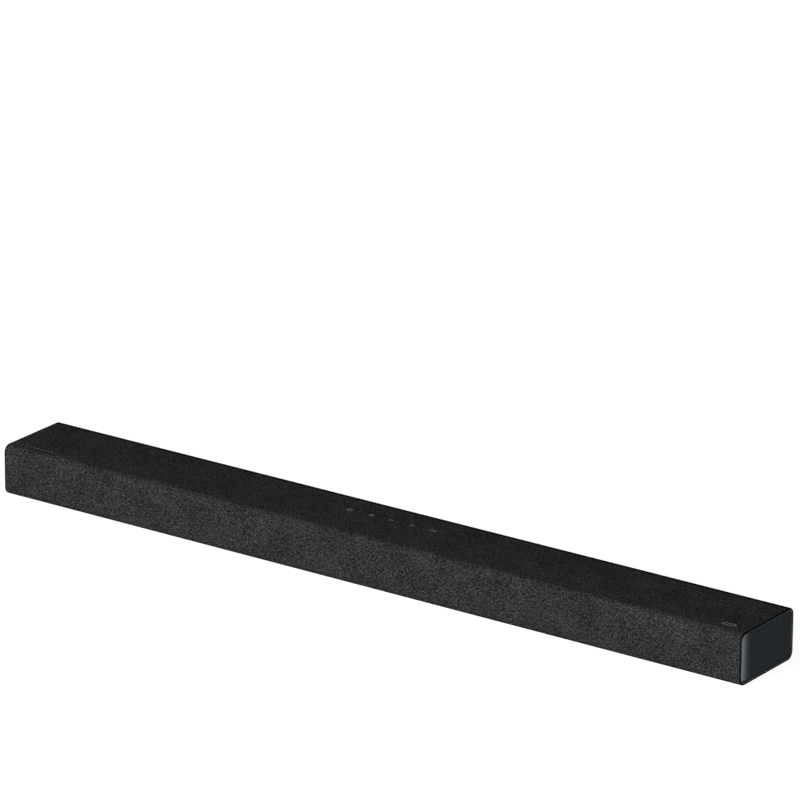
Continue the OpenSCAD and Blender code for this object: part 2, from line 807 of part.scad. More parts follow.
// Insulated leads between the boards and to the drivers
module wiring() color("#5a1f1f") {
    pass_y = box_front + 14;
    term_y = driver_y + basket_deep + 2;
    high_z = roof_z - 4;
    mains_r = 1.2;
    // amplifier board to the left woofer and tweeter, over the boards
    wire([[137, -20, 30], [116, -16, high_z - 1], [113, 3, high_z], [-113, 3, high_z], [-120, -20, high_z],
        [-197, pass_y, 47], [-209, pass_y, 46], [-tweeter_x - 10, -14, 46], [-woofer_x + 52, term_y, 34]]);
    // amplifier board to the right woofer and tweeter
    wire([[181, 3.6, 22], [190, -4, 40], [197, pass_y, 46], [209, pass_y, 46],
        [tweeter_x + 10, -14, 46], [woofer_x - 52, term_y, 34]]);
    // mains inlet to the power board
    wire([[inlet_x - 3, socket_face - 24, 22], [inlet_x - 14, 4, 27], [-104, 4, 32], [-116, 5, 33],
        [-129, -4, 24.2]], mains_r);
    // power board to the amplifier board
    wire([[-129, 3, 24.2], [-117, 9, 41], [-104, 4, 42], [104, 4, 42], [116, 2, 40],
        [124.5, -14, 26], [124.5, -18, 18]], mains_r);
}

// ---------- output ----------

base_tray();
back_panel();
inner_supports();
grille_frame();
grille_cloth();
end_cap(-1);  // end_cap_left
end_cap(1);  // end_cap_right
rubber_feet();
case_screws();
wall_inserts();
speaker_box(-side_box[1], -side_box[0], side_box[2], -woofer_x, [-tweeter_x]);  // speaker_box_left
speaker_box(centre_box[0], centre_box[1], centre_box[2], 0, []);  // speaker_box_centre
speaker_box(side_box[0], side_box[1], side_box[2], woofer_x, [tweeter_x]);  // speaker_box_right
box_lids();
foam_pads();
driver_gaskets();
driver_screws();
for (w = woofer_names, p = woofer_parts)
    woofer(w, p);
for (s = side_names, p = tweeter_parts)
    tweeter(s, p);
main_board();
power_board();
amp_board();
board_parts();
heat_sink();
key_board();
display_board();
display_window();
connector_bay();
hdmi_sockets();
optical_socket();
usb_socket();
mains_inlet();
wiring();
for (i = [0 : 4])
    key(i);
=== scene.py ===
import math

import bmesh
import bpy
from bpy.props import (
    FloatProperty,
    FloatVectorProperty,
    IntProperty,
    PointerProperty,
)
from bpy.types import Operator, Panel, PropertyGroup
from mathutils import Euler, Matrix, Vector


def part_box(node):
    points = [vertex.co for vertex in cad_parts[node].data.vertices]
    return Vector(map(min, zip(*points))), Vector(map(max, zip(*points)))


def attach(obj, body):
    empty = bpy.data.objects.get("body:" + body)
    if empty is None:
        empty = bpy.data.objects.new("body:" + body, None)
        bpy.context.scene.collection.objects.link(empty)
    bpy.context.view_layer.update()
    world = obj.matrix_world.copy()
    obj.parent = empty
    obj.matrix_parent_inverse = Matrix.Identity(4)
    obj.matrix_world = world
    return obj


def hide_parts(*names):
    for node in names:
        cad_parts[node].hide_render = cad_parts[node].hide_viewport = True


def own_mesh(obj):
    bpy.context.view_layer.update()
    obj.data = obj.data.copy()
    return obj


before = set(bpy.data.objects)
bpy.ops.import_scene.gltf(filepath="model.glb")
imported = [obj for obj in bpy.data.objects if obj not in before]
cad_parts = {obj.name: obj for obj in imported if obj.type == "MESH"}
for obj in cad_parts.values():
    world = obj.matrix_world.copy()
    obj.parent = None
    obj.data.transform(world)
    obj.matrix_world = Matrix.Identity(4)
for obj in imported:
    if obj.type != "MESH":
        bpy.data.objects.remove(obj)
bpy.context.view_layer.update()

bl_info = {
    "name": "Cloth-wrapped soundbar",
    "version": (1, 0, 0),
    "blender": (4, 5, 0),
    "location": "3D View > Sidebar > Soundbar",
    "description": "Dresses the soundbar's frame: knitted cloth, end caps, printed keys, sockets and stage",
    "category": "Object",
}

MM = 0.001
MERGE = 0.001 * MM
WHITE = (1.0, 1.0, 1.0)
CLOTH_LOW, CLOTH_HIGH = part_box("grille_cloth")
CAP_LOW, CAP_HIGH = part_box("end_cap_right")
UP = Vector((0, 0, 1))
TURN_STEPS = 10
KEYS = ("power", "source", "volume_down", "volume_up", "pairing")


# ---------------------------------------------------------------- settings


def length_setting(name, description, millimetres):
    return FloatProperty(name=name, description=description, default=millimetres * MM, unit="LENGTH")


def angle_setting(name, description, degrees):
    return FloatProperty(
        name=name, description=description, default=math.radians(degrees), subtype="ANGLE")


def colour_setting(name, description, value):
    return FloatVectorProperty(
        name=name, description=description, default=value, subtype="COLOR", size=3, min=0, max=1)


class ClothSettings(PropertyGroup):
    """The knitted cloth over the front and the top."""

    edge_radius: length_setting("Edge radius", "Radius of the bar's long edges", 8)
    lower_seam: length_setting(
        "Lower seam", "How far forward of the middle the cloth ends underneath", 37.1)
    back_seam: length_setting("Back seam", "How far below the top the cloth ends on the back", 12.9)
    end_roll: length_setting("End roll", "Radius that the cloth turns over at the two ends", 0.75)
    end_wall: length_setting("End wall", "Thickness of the wall that the cloth is folded over", 2.55)
    thickness: length_setting("Thickness", "Thickness of the cloth", 0.7)
    wale: length_setting("Wale", "Width of one column of stitches", 1.15)
    course: length_setting("Course", "Height of one row of stitches", 0.9)
    fleck: length_setting("Fleck", "Length of the light and dark flecks in the yarn", 1.55)
    dark_yarn: colour_setting("Dark yarn", "Colour of the darkest yarn", (0.0050, 0.0051, 0.0055))
    light_yarn: colour_setting("Light yarn", "Colour of the lightest yarn", (0.118, 0.119, 0.123))


class KeySettings(PropertyGroup):
    """The raised spots over the keys and what is printed on them."""

    spot_radius: length_setting("Spot radius", "Radius of the raised spot over a key", 9)
    spot_height: length_setting("Spot height", "How far the cloth stands up over a key", 0.35)
    icon_size: length_setting("Icon size", "Width of a printed icon", 6.2)
    stroke: length_setting("Stroke", "Width of a printed line", 0.84)
    ink: colour_setting("Ink", "Colour of the print", (0.38, 0.39, 0.39))


class CapSettings(PropertyGroup):
    """The two recessed end caps."""

    corner_radius: length_setting("Corner radius", "Radius of a cap's corners", 5.25)
    roll_depth: length_setting("Roll depth", "How much deeper the front edge of a cap lies", 4.5)
    roll_length: length_setting("Roll length", "Length of the part that rolls in", 18)
    bead: length_setting("Bead", "Width of the raised bead round a cap", 0.9)
    slate: colour_setting("Slate", "Colour of a cap", (0.035, 0.044, 0.052))
    # Painted highlight: the lighter colour that a cap's base colour fades to along its rolled front edge.
    painted_front_highlight: colour_setting(
        "Front edge", "Colour that a cap fades to along its rolled front edge", (0.085, 0.095, 0.102))
    roughness: FloatProperty(
        name="Roughness", description="Roughness of a cap's brushed face",
        default=0.36, min=0, max=1, subtype="FACTOR")


class TrimSettings(PropertyGroup):
    """The black trim round the two ends and along the top's rear edge. Its near-black is partly the trim's
    own colour and partly painted shade.
    """

    depth: length_setting("Depth", "How much of each end the trim takes from the cloth", 0.9)
    rounding: length_setting("Rounding", "Radius of the trim's outer edge", 0.7)
    # Partly the trim's own colour and partly painted shade round the caps and along the rear edge.
    black: colour_setting("Black", "Colour of the trim", (0.0028, 0.0029, 0.0032))
    black_width: length_setting("Black width", "Width of the black on the end, outside the satin ring", 1.8)
    rib_width: length_setting("Rib width", "How far the rear rib reaches forward on the top", 2.2)
    rib_height: length_setting("Rib height", "How far the rear rib stands up from the cloth", 0.1)
    # Painted highlight: light grey that stands in for the line of light round each cap.
    satin: colour_setting(
        "Satin", "Colour of the thin ring between the trim and a cap", (0.29, 0.305, 0.32))


class CaseSettings(PropertyGroup):
    """The moulded case behind and below the cloth."""

    plastic: colour_setting("Plastic", "Colour of the moulded case", (0.020, 0.0205, 0.022))
    grain: length_setting("Grain", "Size of the grain on the moulded case", 0.45)
    wall: length_setting("Wall", "Thickness of the moulded walls", 2.4)
    softening: length_setting("Softening", "Width of the chamfer on the moulded edges", 0.3)


class StageSettings(PropertyGroup):
    """Floor, light and camera."""

    azimuth: angle_setting(
        "Azimuth", "Direction the camera looks from, turned to the right of the front", 35.26)
    elevation: angle_setting("Elevation", "Height of the camera above the horizon", 19.55)
    roll: angle_setting("Roll", "Roll of the camera", 0.31)
    distance: FloatProperty(
        name="Distance", description="Distance of the camera from what it looks at",
        default=6.315, unit="LENGTH")
    aim: FloatVectorProperty(
        name="Aim", description="What the camera looks at, from the middle of the bar's base",
        default=(-0.0226, 0.0546, 0.1655), unit="LENGTH", size=3)
    focal_length: FloatProperty(
        name="Focal length", description="Focal length of the lens on a 36 mm wide sensor",
        default=286.97, unit="CAMERA")
    key_power: FloatProperty(
        name="Key light", description="Strength of the soft light from the front",
        default=3.5, min=0)
    side_power: FloatProperty(
        name="Side light", description="Strength of the low soft light on the right end",
        default=0.92, min=0)
    back_power: FloatProperty(
        name="Back light", description="Strength of the soft light on the back",
        default=2.6, min=0)
    ambient: FloatProperty(
        name="Ambient", description="Strength of the light from all round",
        default=0.085, min=0)
    floor: colour_setting("Floor", "Colour of the floor", (0.35, 0.35, 0.35))
    floor_size: IntProperty(
        name="Floor size", description="Length of the floor's side in metres",
        default=60, min=10)


# ---------------------------------------------------------------- shader kit


class Amount:
    """A number that changes over a surface. Its operators add Math nodes to the finish."""

    def __init__(self, finish, socket):
        self.finish = finish
        self.socket = socket

    def math(self, operation, *others, swap=False):
        values = [self, *others]
        if swap:
            values.reverse()
        made = self.finish.node("ShaderNodeMath", {"operation": operation}, dict(enumerate(values)))
        return Amount(self.finish, made.outputs[0])

    def __add__(self, other):
        return self.math("ADD", other)

    def __sub__(self, other):
        return self.math("SUBTRACT", other)

    def __rsub__(self, other):
        return self.math("SUBTRACT", other, swap=True)

    def __mul__(self, other):
        return self.math("MULTIPLY", other)

    def __truediv__(self, other):
        return self.math("DIVIDE", other)

    def __pow__(self, other):
        return self.math("POWER", other)

    def __abs__(self):
        return self.math("ABSOLUTE")

    def __lt__(self, other):
        return self.math("LESS_THAN", other)

    def __gt__(self, other):
        return self.math("GREATER_THAN", other)

    __radd__ = __add__
    __rmul__ = __mul__

    def floor(self):
        return self.math("FLOOR")

    def fraction(self):
        return self.math("FRACT")

    def sine(self):
        return self.math("SINE")

    def step_between(self, low, high):
        """0 below low, 1 above high, and smooth between them."""
        made = self.finish.node(
            "ShaderNodeMapRange", {"interpolation_type": "SMOOTHSTEP"},
            {"Value": self, "From Min": low, "From Max": high})
        return Amount(self.finish, made.outputs["Result"])


class Finish:
    """One procedural material, built on the Principled shader."""

    def __init__(self, name):
        self.material = bpy.data.materials.new(name)
        self.material.use_nodes = True
        self.tree = self.material.node_tree
        self.tree.nodes.clear()
        output = self.node("ShaderNodeOutputMaterial")
        self.surface = self.node("ShaderNodeBsdfPrincipled")
        self.tree.links.new(self.surface.outputs[0], output.inputs["Surface"])

    def node(self, kind, settings=None, sockets=None):
        made = self.tree.nodes.new(kind)
        for key, value in (settings or {}).items():
            setattr(made, key, value)
        for key, value in (sockets or {}).items():
            self.feed(made.inputs[key], value)
        return made

    def feed(self, socket, value):
        if isinstance(value, Amount):
            value = value.socket
        if isinstance(value, bpy.types.NodeSocket):
            self.tree.links.new(value, socket)
        elif socket.type == "RGBA":
            socket.default_value = (*value, 1.0)[:4]
        else:
            socket.default_value = value

    def set(self, **values):
        """Sets the Principled shader's sockets, with spaces as underscores in their names."""
        for key, value in values.items():
            self.feed(self.surface.inputs[key.replace("_", " ")], value)

    def place(self):
        """The three Object coordinates, in metres."""
        coords = self.node("ShaderNodeTexCoord").outputs["Object"]
        split = self.node("ShaderNodeSeparateXYZ", None, {0: coords})
        return [Amount(self, out) for out in split.outputs]

    def laid_out(self):
        """The two coordinates of the piece's own UV map, in metres."""
        coords = self.node("ShaderNodeUVMap", {"uv_map": "flat"}).outputs[0]
        split = self.node("ShaderNodeSeparateXYZ", None, {0: coords})
        return Amount(self, split.outputs[0]), Amount(self, split.outputs[1])

    def here(self):
        """The Object coordinates as one vector."""
        return self.point(*self.place())

    def point(self, x, y, z=0.0):
        return self.node("ShaderNodeCombineXYZ", None, {0: x, 1: y, 2: z}).outputs[0]

    def noise(self, vector, scale, detail=2.0, roughness=0.5):
        made = self.node(
            "ShaderNodeTexNoise", None,
            {"Vector": vector, "Scale": scale, "Detail": detail, "Roughness": roughness})
        return Amount(self, made.outputs["Fac"])

    def cells(self, vector, scale):
        made = self.node("ShaderNodeTexVoronoi", {"feature": "F1"}, {"Vector": vector, "Scale": scale})
        return Amount(self, made.outputs["Distance"])

    def lottery(self, vector):
        """A random number for each whole-numbered point."""
        made = self.node("ShaderNodeTexWhiteNoise", {"noise_dimensions": "3D"}, {"Vector": vector})
        return Amount(self, made.outputs["Value"])

    def mix(self, factor, first, second, blend="MIX"):
        made = self.node(
            "ShaderNodeMix", {"data_type": "RGBA", "blend_type": blend}, {0: factor, 6: first, 7: second})
        return made.outputs[2]

    def emboss(self, height, depth, strength):
        """Raises the surface by height, which runs from 0 to 1, times depth in metres."""
        made = self.node(
            "ShaderNodeBump", None, {"Strength": strength, "Distance": depth, "Height": height})
        self.feed(self.surface.inputs["Normal"], made.outputs[0])


FINISHES = {}


def shade(colour, factor):
    """A colour made darker or lighter."""
    return tuple(min(1.0, channel * factor) for channel in colour)


def finish_named(name, build):
    """Builds a finish once and hands the same material out after that."""
    if name not in FINISHES:
        made = Finish(name)
        build(made)
        FINISHES[name] = made.material
    return FINISHES[name]


# ---------------------------------------------------------------- finishes


def knit_pattern(f, cloth):
    """Height of the knitted loops, and how light the yarn of each loop is."""
    along, round_bar = f.laid_out()
    wale = along / cloth.wale
    course = round_bar / cloth.course
    side = abs(wale.fraction() - 0.5) * 2.0
    slanted = course + side * 0.6
    ridge = (slanted.fraction() * math.pi).sine()
    leg = 1.0 - abs(side - 0.5) * 1.6
    height = ridge * leg
    own_shade = f.lottery(f.point(wale.floor(), slanted.floor(), (side * 1.99).floor()))
    drawn_out = f.point(along / cloth.fleck, round_bar / (cloth.fleck * 1.35))
    fleck = f.noise(drawn_out, 1.0, 2.0, 0.62)
    haze = f.noise(f.point(along, round_bar), 28.0, 2.0, 0.5)
    light = fleck * 0.62 + own_shade * 0.38 + (haze - 0.5) * 0.16
    return height, light


def heather_knit(f):
    cloth = bpy.context.scene.soundbar_cloth
    height, light = knit_pattern(f, cloth)
    lightness = light.step_between(0.30, 0.80) ** 1.5
    yarn = f.mix(lightness, tuple(cloth.dark_yarn), tuple(cloth.light_yarn))
    # Painted shade: the hollows between the loops are darkened by multiplying the yarn colour.
    painted_hollow_shade = f.mix(height.step_between(0.02, 0.5), (0.35, 0.35, 0.35), WHITE)
    f.set(Base_Color=f.mix(0.8, yarn, painted_hollow_shade, "MULTIPLY"), Roughness=0.92, Specular_IOR_Level=0.16)
    f.emboss(height, 0.22 * MM, 0.7)


def print_ink(f):
    ink = tuple(bpy.context.scene.soundbar_keys.ink)
    worn = f.noise(f.here(), 900.0, 3.0, 0.6)
    f.set(Base_Color=f.mix(worn.step_between(0.36, 0.62), shade(ink, 0.35), ink), Roughness=0.7,
          Specular_IOR_Level=0.2)
    f.emboss(worn, 0.05 * MM, 0.6)


def brushed_slate(f):
    caps = bpy.context.scene.soundbar_caps
    x, y, z = f.place()
    hair = f.noise(f.point(x * 40.0, y * 1500.0, z * 9.0), 1.0, 3.0, 0.7)
    band = f.noise(f.point(x * 10.0, y * 260.0, z * 3.0), 1.0, 2.0, 0.5)
    streak = hair * 0.65 + band * 0.35
    # Painted highlight: the base colour grows lighter towards each cap's rolled front edge.
    rolled = (y * -1.0).step_between(-CAP_LOW.y - caps.roll_length, -CAP_LOW.y)
    base = f.mix(rolled, tuple(caps.slate), tuple(caps.painted_front_highlight))
    dimmed = f.mix(streak.step_between(0.3, 0.7), (0.5, 0.5, 0.5), WHITE)
    f.set(Base_Color=f.mix(1.0, base, dimmed, "MULTIPLY"),
          Roughness=streak * 0.24 + (caps.roughness - 0.12), Specular_IOR_Level=0.4)
    f.emboss(hair, 0.006 * MM, 0.5)


def satin_highlight_ring(f):
    """The thin satin ring between the trim and a cap. Its light grey colour is a painted highlight, standing
    in for the line of light along the cap's edge.
    """
    highlight_grey = tuple(bpy.context.scene.soundbar_trim.satin)
    hair = f.noise(f.here(), 700.0, 2.0, 0.6)
    f.set(Base_Color=f.mix(hair, shade(highlight_grey, 0.8), highlight_grey), Roughness=0.4 + hair * 0.1,
          Specular_IOR_Level=0.6)
    f.emboss(hair, 0.01 * MM, 0.4)


def moulded(colour, grain, roughness=0.52, depth=0.03 * MM, specular=0.35):
    """Injection-moulded plastic with a fine spark-eroded grain."""

    def build(f):
        spot = f.here()
        pebble = f.cells(spot, 1.0 / grain)
        cloud = f.noise(spot, 35.0, 3.0, 0.55)
        f.set(Base_Color=f.mix(cloud, shade(colour, 0.82), shade(colour, 1.18)),
              Roughness=roughness + (cloud - 0.5) * 0.1, Specular_IOR_Level=specular)
        f.emboss(pebble, depth, 0.7)

    return build


def rubber(f):
    spot = f.here()
    dust = f.noise(spot, 500.0, 3.0, 0.6)
    fine = f.noise(spot, 2600.0, 2.0, 0.5)
    f.set(Base_Color=f.mix(dust.step_between(0.45, 0.8), (0.018, 0.018, 0.018), (0.05, 0.05, 0.049)),
          Roughness=0.82 + (dust - 0.5) * 0.12, Specular_IOR_Level=0.3)
    f.emboss(fine, 0.04 * MM, 0.6)


def turned_metal(colour, roughness):
    """Metal with fine tool marks."""

    def build(f):
        x, y, z = f.place()
        marks = f.noise(f.point(x * 0.3, y, z * 0.3), 2400.0, 2.0, 0.6)
        tarnish = f.noise(f.point(x, y, z), 260.0, 3.0, 0.6)
        f.set(Base_Color=f.mix(tarnish.step_between(0.35, 0.75), colour, shade(colour, 0.72)),
              Metallic=1.0, Roughness=roughness + (marks - 0.5) * 0.18)
        f.emboss(marks, 0.01 * MM, 0.5)

    return build


def pressed_paper(f):
    x, y, z = f.place()
    fibre = f.noise(f.point(x * 900.0, y * 900.0, z * 350.0), 1.0, 4.0, 0.7)
    cloud = f.noise(f.point(x, y, z), 120.0, 2.0, 0.5)
    f.set(Base_Color=f.mix(fibre * 0.7 + cloud * 0.3, (0.018, 0.018, 0.018), (0.06, 0.059, 0.057)),
          Roughness=0.88, Specular_IOR_Level=0.2)
    f.emboss(fibre, 0.08 * MM, 0.8)


def woven(colour, pitch, roughness=0.85):
    """Plain-woven cloth, one thread over and one under."""

    def build(f):
        x, y, z = f.place()
        warp = (x * (math.pi / pitch)).sine()
        weft = (z * (math.pi / pitch)).sine()
        over = warp * weft
        thread = f.noise(f.point(x, y, z), 1400.0, 2.0, 0.6)
        # Partly the weave's own pattern and partly painted shade: lighter where a thread lies over, darker
        # where it dips under.
        f.set(Base_Color=f.mix(over * 0.35 + thread * 0.65, shade(colour, 0.6), shade(colour, 1.25)),
              Roughness=roughness, Specular_IOR_Level=0.25)
        f.emboss(over * 0.5 + 0.5, 0.08 * MM, 0.8)

    return build


def circuit_board(mask, copper):
    """Solder mask over etched tracks, with a scatter of plated holes."""

    def build(f):
        x, y, z = f.place()
        spot = f.point(x, y, z)
        wander = f.noise(spot, 70.0, 1.0, 0.4)
        lane = abs(((x + wander * 0.012) / (1.6 * MM)).fraction() - 0.5) * 2.0
        cross_lane = abs(((y + wander * 0.014) / (2.1 * MM)).fraction() - 0.5) * 2.0
        zone = f.noise(spot, 45.0, 0.0, 0.5).step_between(0.49, 0.51)
        track = lane.step_between(0.52, 0.6) * zone + cross_lane.step_between(0.55, 0.62) * (1.0 - zone)
        hole = f.cells(spot, 210.0)
        pad = hole < 0.16
        # Painted shade: the middle of each plated hole is near-black.
        pit = hole < 0.07
        etched = f.mix(track * 0.7, mask, shade(mask, 1.9))
        f.set(Base_Color=f.mix(pit, f.mix(pad, etched, copper), (0.004, 0.004, 0.004)),
              Roughness=0.42 + (wander - 0.5) * 0.1, Metallic=pad * 0.8, Specular_IOR_Level=0.5)
        f.emboss(track * 0.5 + pad * 0.3 - pit * 0.8, 0.05 * MM, 0.7)

    return build


def board_parts(f):
    """Mixed black, sleeved and bare parts, told apart by where they stand."""
    x, y, z = f.place()
    patch = f.lottery(f.point((x / (7.0 * MM)).floor(), (y / (9.0 * MM)).floor()))
    cloud = f.noise(f.point(x, y, z), 300.0, 2.0, 0.5)
    dark = f.mix(cloud, (0.012, 0.012, 0.013), (0.035, 0.035, 0.037))
    f.set(Base_Color=f.mix((patch > 0.72) * 0.55, dark, (0.10, 0.11, 0.12)), Roughness=0.38 + cloud * 0.2,
          Specular_IOR_Level=0.5)
    f.emboss(cloud, 0.03 * MM, 0.5)


def smoked_window(f):
    haze = f.noise(f.here(), 150.0, 2.0, 0.5)
    f.set(Base_Color=f.mix(haze, (0.02, 0.02, 0.022), (0.035, 0.035, 0.038)), Roughness=0.12 + haze * 0.08,
          Alpha=0.72 + haze * 0.1, Specular_IOR_Level=0.5)


def open_foam(f):
    pore = f.cells(f.here(), 1500.0)
    # Painted shade: the pores are darker in their middles, where the bump sinks them.
    f.set(Base_Color=f.mix(pore, (0.012, 0.012, 0.013), (0.075, 0.075, 0.078)), Roughness=0.95,
          Specular_IOR_Level=0.15)
    f.emboss(pore, 0.25 * MM, 0.9)


def wire_sleeve(f):
    rub = f.noise(f.here(), 180.0, 3.0, 0.6)
    f.set(Base_Color=f.mix(rub, (0.16, 0.012, 0.010), (0.34, 0.03, 0.024)), Roughness=0.45 + rub * 0.15,
          Specular_IOR_Level=0.45)
    f.emboss(rub, 0.04 * MM, 0.4)


def pale_floor(f):
    base = tuple(bpy.context.scene.soundbar_stage.floor)
    cloud = f.noise(f.here(), 0.7, 2.0, 0.5)
    f.set(Base_Color=f.mix(cloud, shade(base, 0.98), base), Roughness=0.9, Specular_IOR_Level=0.0,
          Emission_Color=WHITE, Emission_Strength=0.95)


# ---------------------------------------------------------------- pieces


def add_object(bm, name, material):
    """Turns a bmesh into an object of the scene with one material."""
    mesh = bpy.data.meshes.new(name)
    bm.to_mesh(mesh)
    bm.free()
    mesh.materials.append(material)
    made = bpy.data.objects.new(name, mesh)
    bpy.context.scene.collection.objects.link(made)
    return made


def finish_piece(bm, name, material, sharp=40.0):
    """Turns a bmesh into a shown piece that rides on the case."""
    piece = add_object(bm, name, material)
    piece.data.shade_smooth()
    piece.data.set_sharp_from_angle(angle=math.radians(sharp))
    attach(piece, "case")
    return piece


def dress(material, *nodes):
    """Gives carried-over nodes their finish."""
    for node in nodes:
        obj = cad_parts[node]
        if not obj.material_slots:
            obj.data.materials.append(material)
        for slot in obj.material_slots:
            slot.material = material


def thicken(piece, thickness):
    """Gives a skin its wall, which grows inwards."""
    wall = piece.modifiers.new("wall", "SOLIDIFY")
    wall.thickness = thickness
    wall.offset = -1.0
    wall.use_even_offset = True


def verts_of(geom):
    return [item for item in geom if isinstance(item, bmesh.types.BMVert)]


def edges_of(geom):
    return [item for item in geom if isinstance(item, bmesh.types.BMEdge)]


def turn_out(bm, pick=None, way=None):
    """Makes all faces look the same way round, and where pick is given, the face that it picks along way."""
    bmesh.ops.recalc_face_normals(bm, faces=bm.faces[:])
    if pick and pick(bm.faces).normal.dot(way) < 0:
        bmesh.ops.reverse_faces(bm, faces=bm.faces[:])


def highest(faces):
    return max(faces, key=lambda face: face.calc_center_median().z)


def lowest(faces):
    return min(faces, key=lambda face: face.calc_center_median().z)


def largest(faces):
    return max(faces, key=lambda face: face.calc_area())


def add_block(bm, middle, size):
    return bmesh.ops.create_cube(
        bm, size=1.0, matrix=Matrix.Translation(middle) @ Matrix.Diagonal((*size, 1)))["verts"]


def soften(bm, edges, width, segments=1):
    bmesh.ops.bevel(bm, geom=edges, offset=width, offset_type="OFFSET", segments=segments, profile=0.5,
                    affect="EDGES", material=-1)


def outward(co, core_low, core_high):
    """Direction out of a rounded box at a point on its skin, in the plane across the bar."""
    y = min(max(co.y, core_low.y), core_high.y)
    z = min(max(co.z, core_low.z), core_high.z)
    return (co - Vector((co.x, y, z))).normalized()


def grow_line(bm, vert, y, z):
    """Carries the line on to (y, z)."""
    made = bmesh.ops.extrude_vert_indiv(bm, verts=[vert])["verts"][0]
    made.co.y = y
    made.co.z = z
    return made


def turn_line(bm, vert, y, z):
    """Carries the line a quarter turn round the centre (y, z)."""
    made = bmesh.ops.spin(
        bm, geom=[vert], cent=(vert.co.x, y, z), axis=(1, 0, 0), angle=-math.pi / 2, steps=TURN_STEPS)
    return verts_of(made["geom_last"])[0]


def girth_of_line(bm, start, layer):
    """Writes the distance round the bar from the lower seam into each point of the line."""
    seen = {start}
    at = start
    start[layer] = 0.0
    while True:
        ahead = [e.other_vert(at) for e in at.link_edges if e.other_vert(at) not in seen]
        if not ahead:
            return at[layer]
        ahead[0][layer] = at[layer] + (ahead[0].co - at.co).length
        at = ahead[0]
        seen.add(at)


def carry_on(bm, edges, change, along, run):
    """Extrudes an edge of the sheet, moves it by change(co) and adds run to its distance along the bar."""
    made = bmesh.ops.extrude_edge_only(bm, edges=edges)["geom"]
    for vert in verts_of(made):
        vert.co = change(vert.co)
        vert[along] += run
    return [edge for edge in edges_of(made) if all(vert in made for vert in edge.verts)]


def lay_flat(bm, along, girth):
    """Writes the piece's own UV map, in metres: along the bar, and round it."""
    flat = bm.loops.layers.uv.new("flat")
    for face in bm.faces:
        for loop in face.loops:
            loop[flat].uv = (loop.vert[along], loop.vert[girth])


def make_cloth():
    """One sheet of knitted cloth, drawn over the front and the top and folded over both ends."""
    cloth = bpy.context.scene.soundbar_cloth
    radius = cloth.edge_radius
    core_low = Vector((0, CLOTH_LOW.y + radius, CLOTH_LOW.z + radius))
    core_high = Vector((0, CLOTH_HIGH.y - radius, CLOTH_HIGH.z - radius))
    back_edge = CLOTH_HIGH.z - cloth.back_seam
    half = CLOTH_HIGH.x - bpy.context.scene.soundbar_trim.depth - cloth.end_roll
    bm = bmesh.new()
    along = bm.verts.layers.float.new("along")
    girth = bm.verts.layers.float.new("girth")

    start = bm.verts.new((-half, -cloth.lower_seam, CLOTH_LOW.z))
    at = grow_line(bm, start, core_low.y, CLOTH_LOW.z)
    at = turn_line(bm, at, core_low.y, core_low.z)
    at = grow_line(bm, at, CLOTH_LOW.y, core_high.z)
    at = turn_line(bm, at, core_low.y, core_high.z)
    at = grow_line(bm, at, core_high.y, CLOTH_HIGH.z)
    at = turn_line(bm, at, core_high.y, core_high.z)
    grow_line(bm, at, CLOTH_HIGH.y, back_edge)
    total = girth_of_line(bm, start, girth)
    for vert in bm.verts:
        vert[along] = vert.co.x

    left = bm.edges[:]
    right = left
    steps = 24
    stride = 2 * half / steps
    for _ in range(steps):
        right = carry_on(bm, right, lambda co: co + Vector((stride, 0, 0)), along, stride)

    turns = [math.radians(a) for a in (22.5, 45, 67.5, 90)]
    roll = cloth.end_roll
    wall = cloth.end_wall
    section = [(roll * math.sin(a), roll * (1 - math.cos(a))) for a in turns]
    section += [(roll, wall - roll)]
    section += [(roll * math.cos(a), wall - roll + roll * math.sin(a)) for a in turns]
    for edges, sign in ((left, -1), (right, 1)):
        before = (0.0, 0.0)
        for out, inward in section:
            shift = Vector((sign * (out - before[0]), 0, 0))
            sink = inward - before[1]
            run = math.hypot(out - before[0], sink)
            edges = carry_on(
                bm, edges, lambda co: co + shift - outward(co, core_low, core_high) * sink, along, sign * run)
            before = (out, inward)

    turn_out(bm, highest, UP)
    lay_flat(bm, along, girth)
    piece = finish_piece(bm, "knitted_cloth", finish_named("heather_knit", heather_knit), sharp=180)
    thicken(piece, cloth.thickness)
    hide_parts("grille_cloth")


def girth_on_top(y):
    """Distance round the bar from the lower seam to a point on the top."""
    cloth = bpy.context.scene.soundbar_cloth
    radius = cloth.edge_radius
    quarter = TURN_STEPS * 2 * radius * math.sin(math.pi / (4 * TURN_STEPS))
    foot = -CLOTH_LOW.y - radius - cloth.lower_seam
    front = CLOTH_HIGH.z - CLOTH_LOW.z - 2 * radius
    return foot + quarter + front + quarter + y - (CLOTH_LOW.y + radius)


def key_centre(key):
    low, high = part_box("key_" + key)
    return Vector(((low.x + high.x) / 2, (low.y + high.y) / 2, CLOTH_HIGH.z))


def spot_rise(distance):
    """Height of the raised spot over a key at a distance from its middle."""
    keys = bpy.context.scene.soundbar_keys
    share = min(distance / keys.spot_radius, 1.0)
    sunk = 0.04 * MM
    return (keys.spot_height + sunk) * math.cos(share * math.pi / 2) ** 2 - sunk


def press_with_key(piece):
    """Gives the cloth over a key its own copy of its mesh."""
    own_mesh(piece)


